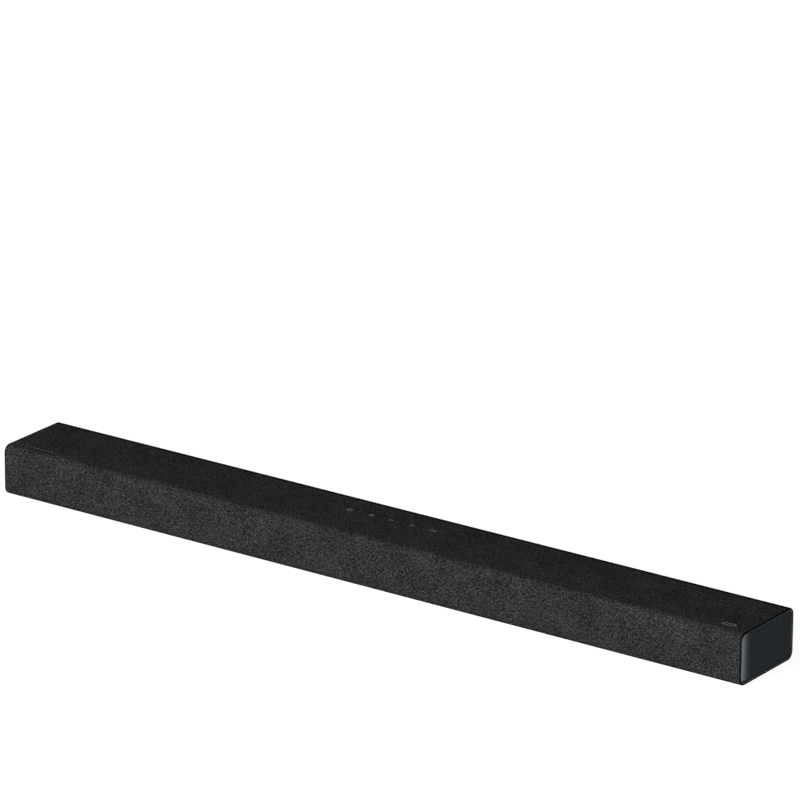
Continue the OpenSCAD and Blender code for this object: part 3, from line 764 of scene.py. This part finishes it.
def make_key_spot(key):
    """The shallow raised spot of the cloth over one key."""
    keys = bpy.context.scene.soundbar_keys
    centre = key_centre(key)
    underside = -0.09 * MM
    bm = bmesh.new()
    line = [bm.verts.new((0, 0, spot_rise(0)))]
    rings = 10
    for ring in range(1, rings + 1):
        distance = keys.spot_radius * ring / rings
        line.append(grow_line(bm, line[-1], 0, spot_rise(distance)))
        line[-1].co.x = distance
    line.append(grow_line(bm, line[-1], 0, underside))
    line[-1].co.x = 0
    bmesh.ops.spin(bm, geom=line + bm.edges[:], cent=(0, 0, 0), axis=(0, 0, 1), angle=2 * math.pi, steps=48,
                   use_merge=True)
    bmesh.ops.remove_doubles(bm, verts=bm.verts[:], dist=MERGE)
    turn_out(bm)
    bmesh.ops.translate(bm, verts=bm.verts[:], vec=centre)
    along = bm.verts.layers.float.new("along")
    girth = bm.verts.layers.float.new("girth")
    for vert in bm.verts:
        vert[along] = vert.co.x
        vert[girth] = girth_on_top(vert.co.y)
    lay_flat(bm, along, girth)
    piece = finish_piece(
        bm, "cloth_over_" + key + "_key", finish_named("heather_knit", heather_knit), sharp=180)
    press_with_key(piece)


def laid(x, y, turn=0.0):
    """Places a flat shape at (x, y), turned by turn."""
    return Matrix.Translation((x, y, 0)) @ Matrix.Rotation(turn, 4, "Z")


def bar_shape(bm, x, y, length, width, turn=0.0):
    """A flat printed stroke."""
    size = Matrix.Diagonal((length, width, 1, 1))
    bmesh.ops.create_grid(bm, x_segments=8, y_segments=1, size=0.5, matrix=laid(x, y, turn) @ size)


def arc_shape(bm, x, y, radius, width, start, sweep, steps=24):
    """A flat printed arc, or a ring where it sweeps all the way round."""
    first = bm.verts.new((radius - width / 2, 0, 0))
    second = bm.verts.new((radius + width / 2, 0, 0))
    edge = bm.edges.new((first, second))
    whole = abs(sweep) > 2 * math.pi - 0.001
    old = set(bm.verts) - {first, second}
    bmesh.ops.spin(bm, geom=[first, second, edge], cent=(0, 0, 0), axis=(0, 0, 1), angle=sweep, steps=steps,
                   use_merge=whole)
    own = [v for v in bm.verts if v not in old]
    bmesh.ops.transform(bm, verts=own, matrix=laid(x, y, start))


def dot_shape(bm, x, y, radius, segments=16, turn=0.0):
    """A flat printed dot, or with three segments an arrow's head."""
    bmesh.ops.create_circle(
        bm, cap_ends=True, cap_tris=False, segments=segments, radius=radius, matrix=laid(x, y, turn))


def power_icon(bm, size, stroke):
    gap = math.radians(38)
    radius = size / 2 - stroke / 2
    arc_shape(bm, 0, 0, radius, stroke, math.pi / 2 + gap, 2 * math.pi - 2 * gap)
    bar_shape(bm, 0, radius * 0.62, radius * 0.9, stroke, math.pi / 2)


def source_icon(bm, size, stroke):
    half = size / 2 - stroke / 2
    side = half * 0.8
    bar_shape(bm, half, 0, 2 * side + stroke, stroke, math.pi / 2)
    inside = half - stroke / 2
    for way in (-1, 1):
        bar_shape(bm, inside / 2 + 0.02 * size, way * side, inside - 0.04 * size, stroke)
    bar_shape(bm, -half * 0.45, 0, half * 0.95, stroke)
    dot_shape(bm, half * 0.025 + stroke * 0.86, 0, stroke * 1.7, 3, -math.pi / 2)


def minus_icon(bm, size, stroke):
    bar_shape(bm, 0, 0, size * 0.9, stroke * 1.3)


def plus_icon(bm, size, stroke):
    bar_shape(bm, 0, 0, size * 0.86, stroke)
    reach = (size * 0.86 - stroke) / 2
    for way in (-1, 1):
        bar_shape(bm, 0, way * (stroke / 2 + reach / 2), reach, stroke, math.pi / 2)


def waves_icon(bm, size, stroke):
    dot_shape(bm, 0, 0, stroke * 0.8)
    for ring in (0.26, 0.45):
        for start in (-math.pi / 4, math.pi * 3 / 4):
            arc_shape(bm, 0, 0, size * ring, stroke, start, math.pi / 2, 10)


ICONS = {"power": power_icon, "source": source_icon, "volume_down": minus_icon,
         "volume_up": plus_icon, "pairing": waves_icon}


def ink_block(bm, centre, rise):
    """Gives flat print its thickness and drapes it on the cloth.

    rise(distance) is the cloth's height at a distance from centre."""
    thickness = 0.1 * MM
    sunk = 0.06 * MM
    raised = bmesh.ops.extrude_face_region(bm, geom=bm.faces[:])["geom"]
    bmesh.ops.translate(bm, verts=verts_of(raised), vec=(0, 0, thickness))
    for vert in bm.verts:
        vert.co.z += rise(math.hypot(vert.co.x, vert.co.y)) - sunk
    turn_out(bm)
    bmesh.ops.translate(bm, verts=bm.verts[:], vec=centre)


def make_key_icon(key):
    keys = bpy.context.scene.soundbar_keys
    bm = bmesh.new()
    ICONS[key](bm, keys.icon_size, keys.stroke)
    ink_block(bm, key_centre(key), spot_rise)
    piece = finish_piece(bm, key + "_icon", finish_named("print_ink", print_ink))
    press_with_key(piece)


def no_rise(distance):
    """Height of the cloth away from the keys, where it lies flat."""
    return 0.0


def make_plain_marks():
    """A plain oblong at the right and a broken rule at the left, where such bars carry print."""
    ink = finish_named("print_ink", print_ink)
    radius = 2.2 * MM
    length = 9.6 * MM
    stroke = 0.9 * MM
    bm = bmesh.new()
    for way in (-1, 1):
        arc_shape(bm, way * length / 2, 0, radius, stroke, -way * math.pi / 2, math.pi, 12)
        bar_shape(bm, 0, way * radius, length, stroke)
    bmesh.ops.remove_doubles(bm, verts=bm.verts[:], dist=0.002 * MM)
    ink_block(bm, Vector((CLOTH_HIGH.x - 24 * MM, CLOTH_LOW.y + 17.5 * MM, CLOTH_HIGH.z)), no_rise)
    finish_piece(bm, "plain_oblong_mark", ink)
    bm = bmesh.new()
    spacing = 4.7 * MM
    for dash in range(-4, 5):
        bar_shape(bm, dash * spacing, 0, 3.1 * MM, 0.7 * MM)
    ink_block(bm, Vector((CLOTH_LOW.x + 39 * MM, CLOTH_LOW.y + 12.5 * MM, CLOTH_HIGH.z)), no_rise)
    finish_piece(bm, "broken_rule_mark", ink)


def side_name(side):
    return "right" if side > 0 else "left"


def make_end_cap(side):
    """A shallow brushed cap with a bead round it, whose front edge rolls in."""
    caps = bpy.context.scene.soundbar_caps
    name = "end_cap_" + side_name(side)
    low, high = CAP_LOW, CAP_HIGH
    face_x = CLOTH_HIGH.x - 0.3 * MM
    rim_x = face_x - 0.35 * MM
    skirt = 9 * MM
    bm = bmesh.new()
    outline = [(low.y, low.z), (high.y, low.z), (high.y, high.z), (low.y, high.z)]
    bm.faces.new([bm.verts.new((rim_x, y, z)) for y, z in outline])
    bmesh.ops.bevel(bm, geom=bm.verts[:], offset=caps.corner_radius, offset_type="OFFSET", segments=10,
                    profile=0.5, affect="VERTICES", material=-1)
    edge = bm.edges[:]
    face = bm.faces[:]
    # the bead's section: widths against their sum without the last, rises in millimetres
    for width, rise in ((0.22, 0.28), (0.1, 0.07), (0.22, 0.0), (0.1, -0.07), (0.22, -0.28), (0.06, 0.0)):
        bmesh.ops.inset_region(bm, faces=face, thickness=width / 0.86 * caps.bead, depth=rise * MM,
                               use_even_offset=True, use_boundary=True)
    made = bmesh.ops.extrude_edge_only(bm, edges=edge)["geom"]
    bmesh.ops.translate(bm, verts=verts_of(made), vec=(-skirt, 0, 0))

    roll_start = low.y + caps.roll_length
    slices = 24
    first = 0.4 * MM
    for cut in range(slices + 1):
        y = low.y + first + (caps.roll_length - first) * cut / slices
        bmesh.ops.bisect_plane(bm, geom=bm.verts[:] + bm.edges[:] + bm.faces[:], dist=MERGE,
                               plane_co=(0, y, 0), plane_no=(0, 1, 0))
    bend = (caps.roll_length ** 2 + caps.roll_depth ** 2) / (2 * caps.roll_depth)
    for vert in bm.verts:
        reach = roll_start - vert.co.y
        if reach > 0 and vert.co.x > face_x - 1.5 * MM:
            vert.co.x -= bend - math.sqrt(bend * bend - reach * reach)

    # the two snap tongues behind the skirt, each with a barb at its far end
    tongue_x = face_x - 11.5 * MM
    tongue = (12 * MM, 10 * MM, 1.4 * MM)
    barb = 1.2 * MM
    for z, way in ((high.z - 2.6 * MM, 1), (low.z + 2.6 * MM, -1)):
        block = add_block(bm, Vector((tongue_x, 2 * MM, z)), tongue)
        far = [v for v in block if v.co.x < tongue_x and (v.co.z - z) * way > 0]
        bmesh.ops.translate(bm, verts=far, vec=(0, 0, way * barb))
    if side < 0:
        bmesh.ops.mirror(bm, geom=bm.verts[:] + bm.edges[:] + bm.faces[:], axis="X", merge_dist=-1)
        bmesh.ops.delete(bm, geom=[v for v in bm.verts if v.co.x > 0], context="VERTS")
    turn_out(bm, largest, Vector((side, 0, 0)))
    piece = finish_piece(
        bm, "brushed_" + name, finish_named("brushed_slate", brushed_slate), sharp=50)
    thicken(piece, 1.5 * MM)
    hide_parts(name)


def make_ring(name, side, line, material):
    """Carries a closed line of points once round one end of the bar.

    Each point of the line is (x, inset), where inset is measured inwards from the bar's skin."""
    low, high = CLOTH_LOW, CLOTH_HIGH
    radius = bpy.context.scene.soundbar_cloth.edge_radius
    bm = bmesh.new()
    first = [bm.verts.new((x * side, low.y + radius, low.z + inset)) for x, inset in line]
    edges = [bm.edges.new((first[i], first[(i + 1) % len(first)])) for i in range(len(first))]
    wide = high.y - low.y - 2 * radius
    tall = high.z - low.z - 2 * radius
    straights = ((wide, 0), (0, tall), (-wide, 0), (0, -tall))
    y, z = low.y + radius, low.z + radius
    for across, up in straights:
        made = bmesh.ops.extrude_edge_only(bm, edges=edges)["geom"]
        verts = verts_of(made)
        bmesh.ops.translate(bm, verts=verts, vec=(0, across, up))
        y, z = y + across, z + up
        edges = [edge for edge in edges_of(made) if all(vert in verts for vert in edge.verts)]
        made = bmesh.ops.spin(
            bm, geom=verts + edges, cent=(0, y, z), axis=(1, 0, 0), angle=math.pi / 2, steps=9)
        edges = edges_of(made["geom_last"])
    bmesh.ops.remove_doubles(bm, verts=bm.verts[:], dist=2 * MERGE)
    turn_out(bm)
    finish_piece(bm, name + "_" + side_name(side), material, sharp=50)


def blackened_steel():
    return finish_named("blackened_steel", turned_metal((0.09, 0.09, 0.095), 0.42))


def shade_black_trim():
    # Near-black finish: partly the trim's own colour, partly painted shade.
    black = bpy.context.scene.soundbar_trim.black
    return finish_named("shade_black_trim", moulded(black, 0.35 * MM, 0.6, 0.01 * MM, 0.1))


def make_end_trim(side):
    """A black ring round one end, which holds the cloth's fold and frames the cap. Its near-black is partly
    painted shade, standing in for the shadowed groove round the cap.
    """
    trim = bpy.context.scene.soundbar_trim
    end = CLOTH_HIGH.x
    radius = trim.rounding
    outer = 0.08 * MM
    inner = trim.black_width
    chamfer = 0.15 * MM
    line = [(end - trim.depth, outer)]
    for step in range(5):
        turn = math.pi / 2 * step / 4
        line.append((end - radius + radius * math.sin(turn), outer + radius - radius * math.cos(turn)))
    line += [(end, inner - chamfer), (end - chamfer, inner), (end - trim.depth, inner)]
    make_ring("end_trim", side, line, shade_black_trim())


def make_satin_highlight_ring(side):
    """The thin ring inside the black trim, with a rounded front, which runs back beside the cap's skirt. Its
    light grey colour is a painted highlight.
    """
    trim = bpy.context.scene.soundbar_trim
    end = CLOTH_HIGH.x
    back = end - 8 * MM
    shoulder = end - 0.7 * MM
    bulge = 0.6 * MM
    wall = 0.3 * MM
    outer = trim.black_width + 0.05 * MM
    inner = CLOTH_HIGH.z - CAP_HIGH.z - 0.2 * MM
    half = (inner - outer) / 2
    line = [(back, inner), (back, inner - wall), (end - trim.depth, inner - wall), (end - trim.depth, outer)]
    for step in range(7):
        turn = math.pi * step / 6
        line.append((shoulder + bulge * math.sin(turn), outer + half - half * math.cos(turn)))
    make_ring("satin_highlight_ring", side, line, finish_named("satin_highlight_ring", satin_highlight_ring))


def make_rear_rib():
    """A thin black rib over the rear edge of the top, in line with the trim round the ends. Its black is
    partly painted shade, for the dark line along that edge.
    """
    trim = bpy.context.scene.soundbar_trim
    radius = bpy.context.scene.soundbar_cloth.edge_radius
    half = CLOTH_HIGH.x - trim.depth
    bend_y = CLOTH_HIGH.y - radius
    top = CLOTH_HIGH.z + trim.rib_height
    bm = bmesh.new()
    at = grow_line(bm, bm.verts.new((-half, bend_y - trim.rib_width, top)), bend_y, top)
    bmesh.ops.spin(bm, geom=[at], cent=(0, bend_y, CLOTH_HIGH.z - radius), axis=(1, 0, 0), angle=-math.pi / 4,
                   steps=6)
    made = bmesh.ops.extrude_edge_only(bm, edges=bm.edges[:])["geom"]
    bmesh.ops.translate(bm, verts=verts_of(made), vec=(2 * half, 0, 0))
    turn_out(bm, highest, UP)
    piece = finish_piece(bm, "rear_rib", shade_black_trim(), sharp=50)
    thicken(piece, 0.4 * MM)


def loop_edges(verts):
    return {edge for vert in verts for edge in vert.link_edges}


def draw_slot(bm, place, radius, half=0.0, segments=32):
    """Draws a round hole, or with half above 0 a slot along local X, and returns its edges."""
    verts = bmesh.ops.create_circle(bm, cap_ends=False, segments=segments, radius=radius)["verts"]
    bmesh.ops.rotate(bm, verts=verts, cent=(0, 0, 0), matrix=Matrix.Rotation(math.pi / segments, 3, "Z"))
    for vert in verts:
        vert.co.x += math.copysign(half, vert.co.x)
    bmesh.ops.transform(bm, verts=verts, matrix=place)
    return loop_edges(verts)


def draw_rectangle(bm, place, low, high):
    """Draws the outline of a panel between two corners, and returns its edges."""
    size = Matrix.Diagonal((high[0] - low[0], high[1] - low[1], 1, 1))
    place = place @ laid((low[0] + high[0]) / 2, (low[1] + high[1]) / 2)
    verts = bmesh.ops.create_grid(bm, x_segments=1, y_segments=1, size=0.5, matrix=place @ size)["verts"]
    bmesh.ops.delete(bm, geom=[verts[0].link_faces[0]], context="FACES_ONLY")
    return loop_edges(verts)


def fill_flat(bm, edges, normal):
    """Fills a flat outline round its holes. It works in millimetres, which the fill's tolerance suits."""
    bmesh.ops.scale(bm, verts=bm.verts[:], vec=(1 / MM, 1 / MM, 1 / MM))
    bmesh.ops.triangle_fill(bm, use_beauty=True, use_dissolve=False, edges=list(edges), normal=normal)
    bmesh.ops.scale(bm, verts=bm.verts[:], vec=(MM, MM, MM))


def moulded_skin(bm, name, node):
    """Gives a skin the thickness of a moulding, and breaks its edges."""
    case = bpy.context.scene.soundbar_case
    bmesh.ops.inset_region(bm, faces=bm.faces[:], thickness=case.softening, depth=0.0, use_even_offset=True,
                           use_boundary=True)
    bm.normal_update()
    for vert in [v for v in bm.verts if v.is_boundary]:
        vert.co -= vert.normal * case.softening
    material = finish_named("grained_case", moulded(case.plastic, case.grain, 0.5, 0.05 * MM, 0.3))
    piece = finish_piece(bm, name, material)
    thicken(piece, case.wall)
    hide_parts(node)


def make_tray():
    """The underside, with holes for the feet and the screws, turned up into the back."""
    cloth = bpy.context.scene.soundbar_cloth
    low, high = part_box("base_tray")
    half = high.x - bpy.context.scene.soundbar_trim.depth
    bend_y = high.y - cloth.edge_radius
    screw_low, screw_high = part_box("case_screws")
    foot_low, foot_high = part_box("rubber_feet")
    screw = 3.2 * MM
    foot = 8 * MM
    bm = bmesh.new()
    floor = Matrix.Translation((0, 0, low.z))
    outline = draw_rectangle(bm, floor, (-half, -cloth.lower_seam + 0.3 * MM), (half, bend_y))
    edges = set(outline)
    inner = 199 * MM
    outer = screw_high.x - screw
    for x in (-outer, -inner, inner, outer):
        for y in (screw_low.y + screw, screw_high.y - screw):
            edges |= draw_slot(bm, floor @ laid(x, y), screw + 0.4 * MM)
    for x in (foot_low.x + foot, foot_high.x - foot):
        for y in (foot_low.y + foot, foot_high.y - foot):
            edges |= draw_slot(bm, floor @ laid(x, y), foot + 0.15 * MM, segments=48)
    rear = next(edge for edge in outline if all(abs(v.co.y - bend_y) < 0.01 * MM for v in edge.verts))
    bmesh.ops.spin(bm, geom=[rear, *rear.verts], cent=(0, bend_y, low.z + cloth.edge_radius), axis=(1, 0, 0),
                   angle=math.pi / 2, steps=10)
    fill_flat(bm, edges, (0, 0, -1))
    bmesh.ops.remove_doubles(bm, verts=bm.verts[:], dist=MERGE)
    turn_out(bm, lowest, -UP)
    moulded_skin(bm, "moulded_tray", "base_tray")


def make_back_panels():
    """The two side panels of the back, with their cooling slots and wall mounting holes."""
    low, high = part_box("back_panel")
    insert_low, insert_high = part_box("wall_inserts")
    half = high.x - bpy.context.scene.soundbar_trim.depth
    joint = 0.2 * MM
    top = CLOTH_HIGH.z - bpy.context.scene.soundbar_cloth.back_seam - joint
    bay_lip = 3 * MM
    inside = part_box("connector_bay")[1].x - bay_lip + joint
    vent_x = 155 * MM
    vent_z = 22 * MM
    vent_spacing = 6 * MM
    insert = 3 * MM
    back = Matrix.Translation((0, high.y, 0)) @ Matrix.Rotation(math.pi / 2, 4, "X")
    bm = bmesh.new()
    for side in (-1, 1):
        ends = sorted((side * inside, side * half))
        edges = draw_rectangle(bm, back, (ends[0], low.z + joint / 2), (ends[1], top))
        for vent in range(-5, 6):
            place = back @ laid(side * vent_x + vent * vent_spacing, vent_z, math.pi / 2)
            edges |= draw_slot(bm, place, 1 * MM, 7 * MM, 24)
        hole = laid(side * (insert_high.x - insert), (insert_low.z + insert_high.z) / 2)
        edges |= draw_slot(bm, back @ hole, insert + 0.1 * MM)
        fill_flat(bm, edges, (0, 1, 0))
    turn_out(bm)
    for face in bm.faces:
        if face.normal.y < 0:
            face.normal_flip()
    moulded_skin(bm, "moulded_back_panels", "back_panel")


def add_contacts(bm, middle, count, spacing, size):
    """A row of contacts along the bar."""
    x, y, z = middle
    for pin in range(count):
        add_block(bm, Vector((x + (pin - (count - 1) / 2) * spacing, y, z)), size)


def make_contacts():
    """Gold contacts on the sockets' tongues and plated sleeves on the mains pins."""
    gold = finish_named("gold_contacts", turned_metal((0.83, 0.57, 0.22), 0.28))
    low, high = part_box("hdmi_sockets")
    socket = 15 * MM
    bm = bmesh.new()
    for x in (low.x + socket / 2, high.x - socket / 2):
        middle = (x, high.y - 6 * MM, (low.z + high.z) / 2)
        add_contacts(bm, middle, 9, 1.1 * MM, (0.45 * MM, 8.6 * MM, 1.3 * MM))
    soften(bm, bm.edges[:], 0.06 * MM)
    finish_piece(bm, "picture_socket_contacts", gold)

    low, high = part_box("usb_socket")
    middle = ((low.x + high.x) / 2, high.y - 6 * MM, (low.z + high.z) / 2 - 0.9 * MM)
    bm = bmesh.new()
    add_contacts(bm, middle, 4, 2.3 * MM, (1.1 * MM, 8 * MM, 0.2 * MM))
    soften(bm, bm.edges[:], 0.05 * MM)
    finish_piece(bm, "usb_contacts", gold)

    low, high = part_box("mains_inlet")
    radius = 1.25 * MM
    bm = bmesh.new()
    for way in (-1, 1):
        middle = Vector(((low.x + high.x) / 2 + way * 4.3 * MM, high.y - 7 * MM, (low.z + high.z) / 2))
        place = Matrix.Translation(middle) @ Matrix.Rotation(-math.pi / 2, 4, "X")
        pin = bmesh.ops.create_cone(bm, cap_ends=True, cap_tris=False, segments=28, radius1=radius,
                                    radius2=radius, depth=10.4 * MM, matrix=place)["verts"]
        tip = [edge for edge in bm.edges if all(v in pin and v.co.y > middle.y for v in edge.verts)]
        soften(bm, tip, 0.8 * MM, 4)
    plated = finish_named("plated_pins", turned_metal((0.62, 0.62, 0.60), 0.25))
    finish_piece(bm, "mains_pins", plated)


# ---------------------------------------------------------------- operators


class SOUNDBAR_OT_cloth(Operator):
    """Stretches the knitted cloth over the front and the top"""

    bl_idname = "soundbar.cloth"
    bl_label = "Cloth"

    def execute(self, context):
        make_cloth()
        return {"FINISHED"}


class SOUNDBAR_OT_keys(Operator):
    """Raises the cloth over each key and prints its icon"""

    bl_idname = "soundbar.keys"
    bl_label = "Keys"

    def execute(self, context):
        for key in KEYS:
            make_key_spot(key)
            make_key_icon(key)
            dress(finish_named("key_plastic", moulded((0.02, 0.02, 0.022), 0.3 * MM)), "key_" + key)
        return {"FINISHED"}


class SOUNDBAR_OT_marks(Operator):
    """Prints the two plain marks near the front edge of the top"""

    bl_idname = "soundbar.marks"
    bl_label = "Plain marks"

    def execute(self, context):
        make_plain_marks()
        return {"FINISHED"}


class SOUNDBAR_OT_end_caps(Operator):
    """Makes the two brushed end caps, the black trim round them and along the rear edge, whose near-black is
    partly painted shade, and the light grey rings, a painted highlight
    """

    bl_idname = "soundbar.end_caps"
    bl_label = "End caps"

    def execute(self, context):
        for side in (-1, 1):
            make_end_cap(side)
            make_end_trim(side)
            make_satin_highlight_ring(side)
        make_rear_rib()
        return {"FINISHED"}


class SOUNDBAR_OT_case(Operator):
    """Makes the moulded tray and back panels, and finishes the feet, screws and inserts"""

    bl_idname = "soundbar.case"
    bl_label = "Case"

    def execute(self, context):
        case = context.scene.soundbar_case
        make_tray()
        make_back_panels()
        bay = moulded(case.plastic, case.grain * 0.7, 0.5, 0.012 * MM)
        dress(finish_named("bay_plastic", bay), "connector_bay")
        inner = moulded((0.010, 0.010, 0.011), 0.5 * MM, 0.7)
        dress(finish_named("frame_plastic", inner), "grille_frame", "inner_supports")
        dress(finish_named("foot_rubber", rubber), "rubber_feet")
        dress(blackened_steel(), "case_screws")
        dress(finish_named("turned_brass", turned_metal((0.72, 0.50, 0.20), 0.3)), "wall_inserts")
        dress(finish_named("smoked_window", smoked_window), "display_window")
        return {"FINISHED"}


class SOUNDBAR_OT_sockets(Operator):
    """Finishes the sockets in the back and adds their contacts"""

    bl_idname = "soundbar.sockets"
    bl_label = "Sockets"

    def execute(self, context):
        plated = turned_metal((0.55, 0.55, 0.56), 0.33)
        dress(finish_named("plated_shell", plated), "hdmi_sockets", "usb_socket")
        gloss = moulded((0.012, 0.012, 0.013), 0.6 * MM, 0.3, 0.02 * MM, 0.5)
        dress(finish_named("socket_plastic", gloss), "optical_socket", "mains_inlet")
        make_contacts()
        return {"FINISHED"}


class SOUNDBAR_OT_loudspeakers(Operator):
    """Finishes the woofers, the tweeters and their boxes"""

    bl_idname = "soundbar.loudspeakers"
    bl_label = "Loudspeakers"

    def execute(self, context):
        box = finish_named("box_plastic", moulded((0.032, 0.032, 0.033), 0.8 * MM, 0.6))
        dress(box, "speaker_box_left", "speaker_box_centre", "speaker_box_right", "box_lids")
        dress(finish_named("open_foam", open_foam), "foam_pads")
        dress(finish_named("gasket_foam", open_foam), "driver_gaskets")
        dress(blackened_steel(), "driver_screws")
        paint = moulded((0.028, 0.029, 0.031), 0.25 * MM, 0.4, 0.02 * MM, 0.5)
        woofer = {
            "frame": finish_named("basket_paint", paint),
            "yoke": finish_named("plated_steel", turned_metal((0.56, 0.56, 0.58), 0.36)),
            "magnet": finish_named("ferrite", moulded((0.055, 0.053, 0.051), 0.7 * MM, 0.62, 0.06 * MM)),
            "cone": finish_named("pressed_paper", pressed_paper),
            "surround": finish_named("surround_rubber", rubber),
            "spider": finish_named("spider_weave", woven((0.42, 0.25, 0.08), 0.55 * MM)),
        }
        tweeter = {
            "housing": finish_named("tweeter_plastic", moulded((0.022, 0.022, 0.024), 0.3 * MM, 0.38)),
            "dome": finish_named("dome_silk", woven((0.11, 0.09, 0.065), 0.22 * MM, 0.5)),
            "surround": finish_named("dome_roll", woven((0.05, 0.042, 0.032), 0.22 * MM, 0.6)),
        }
        for place in ("left", "centre", "right"):
            for part, material in woofer.items():
                dress(material, "woofer_" + place + "_" + part)
        for place in ("left", "right"):
            for part, material in tweeter.items():
                dress(material, "tweeter_" + place + "_" + part)
        return {"FINISHED"}


class SOUNDBAR_OT_electronics(Operator):
    """Finishes the boards, the heat sink and the wiring"""

    bl_idname = "soundbar.electronics"
    bl_label = "Electronics"

    def execute(self, context):
        green = circuit_board((0.008, 0.060, 0.024), (0.55, 0.42, 0.2))
        dress(finish_named("green_board", green), "main_board", "amp_board", "key_board", "display_board")
        tan = circuit_board((0.22, 0.15, 0.055), (0.6, 0.6, 0.58))
        dress(finish_named("tan_board", tan), "power_board")
        dress(finish_named("board_parts", board_parts), "board_parts")
        dress(finish_named("extruded_aluminium", turned_metal((0.66, 0.67, 0.69), 0.38)), "heat_sink")
        dress(finish_named("wire_sleeve", wire_sleeve), "wiring")
        return {"FINISHED"}


class SOUNDBAR_OT_stage(Operator):
    """Lays the floor and sets up the light and the camera"""

    bl_idname = "soundbar.stage"
    bl_label = "Stage"

    def execute(self, context):
        stage = context.scene.soundbar_stage
        self.lay_floor(stage)
        self.set_light("front_light", (-0.20, -0.93, 0.34), stage.key_power, 22)
        self.set_light("side_light", (0.915, 0.215, -0.34), stage.side_power, 18, (0.90, 0.97, 1.0))
        self.set_light("back_light", (-0.50, 0.72, -0.48), stage.back_power, 30)
        self.set_world(stage)
        self.set_camera(stage)
        context.scene.view_settings.view_transform = "Standard"
        return {"FINISHED"}

    def lay_floor(self, stage):
        bm = bmesh.new()
        bmesh.ops.create_grid(bm, x_segments=4, y_segments=4, size=stage.floor_size / 2)
        floor = add_object(bm, "floor", finish_named("pale_floor", pale_floor))
        floor.visible_diffuse = False
        floor.visible_glossy = False
        floor.visible_shadow = False

    def set_light(self, name, towards, power, spread, colour=WHITE):
        """A distant soft light in the direction towards, seen from the bar, that spreads so many degrees."""
        lamp = bpy.data.lights.new(name, "SUN")
        lamp.energy = power
        lamp.color = colour
        lamp.angle = math.radians(spread)
        light = bpy.data.objects.new(name, lamp)
        light.rotation_euler = Vector(towards).to_track_quat("Z", "Y").to_euler()
        light.location = Vector(towards) * 3
        bpy.context.scene.collection.objects.link(light)

    def set_world(self, stage):
        world = bpy.data.worlds.new("studio")
        world.use_nodes = True
        background = world.node_tree.nodes["Background"]
        background.inputs["Color"].default_value = (0.97, 0.985, 1.0, 1.0)
        background.inputs["Strength"].default_value = stage.ambient
        bpy.context.scene.world = world

    def set_camera(self, stage):
        lens = bpy.data.cameras.new("camera")
        lens.sensor_width = 36.0
        lens.lens = stage.focal_length
        lens.clip_end = 200.0
        camera = bpy.data.objects.new("camera", lens)
        turn = Euler((math.pi / 2 - stage.elevation, 0, stage.azimuth), "XYZ").to_matrix()
        back = turn @ Vector((0, 0, 1))
        camera.location = Vector(stage.aim) + back * stage.distance
        camera.rotation_euler = (turn @ Matrix.Rotation(stage.roll, 3, "Z")).to_euler()
        bpy.context.scene.collection.objects.link(camera)
        bpy.context.scene.camera = camera


class SOUNDBAR_PT_pieces(Panel):
    """Lists the soundbar's pieces"""

    bl_idname = "SOUNDBAR_PT_pieces"
    bl_label = "Soundbar"
    bl_space_type = "VIEW_3D"
    bl_region_type = "UI"
    bl_category = "Soundbar"

    def draw(self, context):
        for operator in OPERATORS:
            self.layout.operator(operator.bl_idname)
        for name in SETTINGS:
            box = self.layout.box()
            settings = getattr(context.scene, name)
            for item in settings.bl_rna.properties:
                if item.identifier not in ("rna_type", "name"):
                    box.prop(settings, item.identifier)


OPERATORS = (
    SOUNDBAR_OT_cloth,
    SOUNDBAR_OT_keys,
    SOUNDBAR_OT_marks,
    SOUNDBAR_OT_end_caps,
    SOUNDBAR_OT_case,
    SOUNDBAR_OT_sockets,
    SOUNDBAR_OT_loudspeakers,
    SOUNDBAR_OT_electronics,
    SOUNDBAR_OT_stage,
)
SETTINGS = {
    "soundbar_cloth": ClothSettings,
    "soundbar_keys": KeySettings,
    "soundbar_caps": CapSettings,
    "soundbar_trim": TrimSettings,
    "soundbar_case": CaseSettings,
    "soundbar_stage": StageSettings,
}


def register():
    for name, group in SETTINGS.items():
        bpy.utils.register_class(group)
        setattr(bpy.types.Scene, name, PointerProperty(type=group))
    for operator in OPERATORS:
        bpy.utils.register_class(operator)
    bpy.utils.register_class(SOUNDBAR_PT_pieces)


def unregister():
    bpy.utils.unregister_class(SOUNDBAR_PT_pieces)
    for operator in reversed(OPERATORS):
        bpy.utils.unregister_class(operator)
    for name, group in SETTINGS.items():
        delattr(bpy.types.Scene, name)
        bpy.utils.unregister_class(group)


def main():
    register()
    bpy.ops.soundbar.cloth()
    bpy.ops.soundbar.keys()
    bpy.ops.soundbar.marks()
    bpy.ops.soundbar.end_caps()
    bpy.ops.soundbar.case()
    bpy.ops.soundbar.sockets()
    bpy.ops.soundbar.loudspeakers()
    bpy.ops.soundbar.electronics()
    bpy.ops.soundbar.stage()


if __name__ == "__main__":
    main()
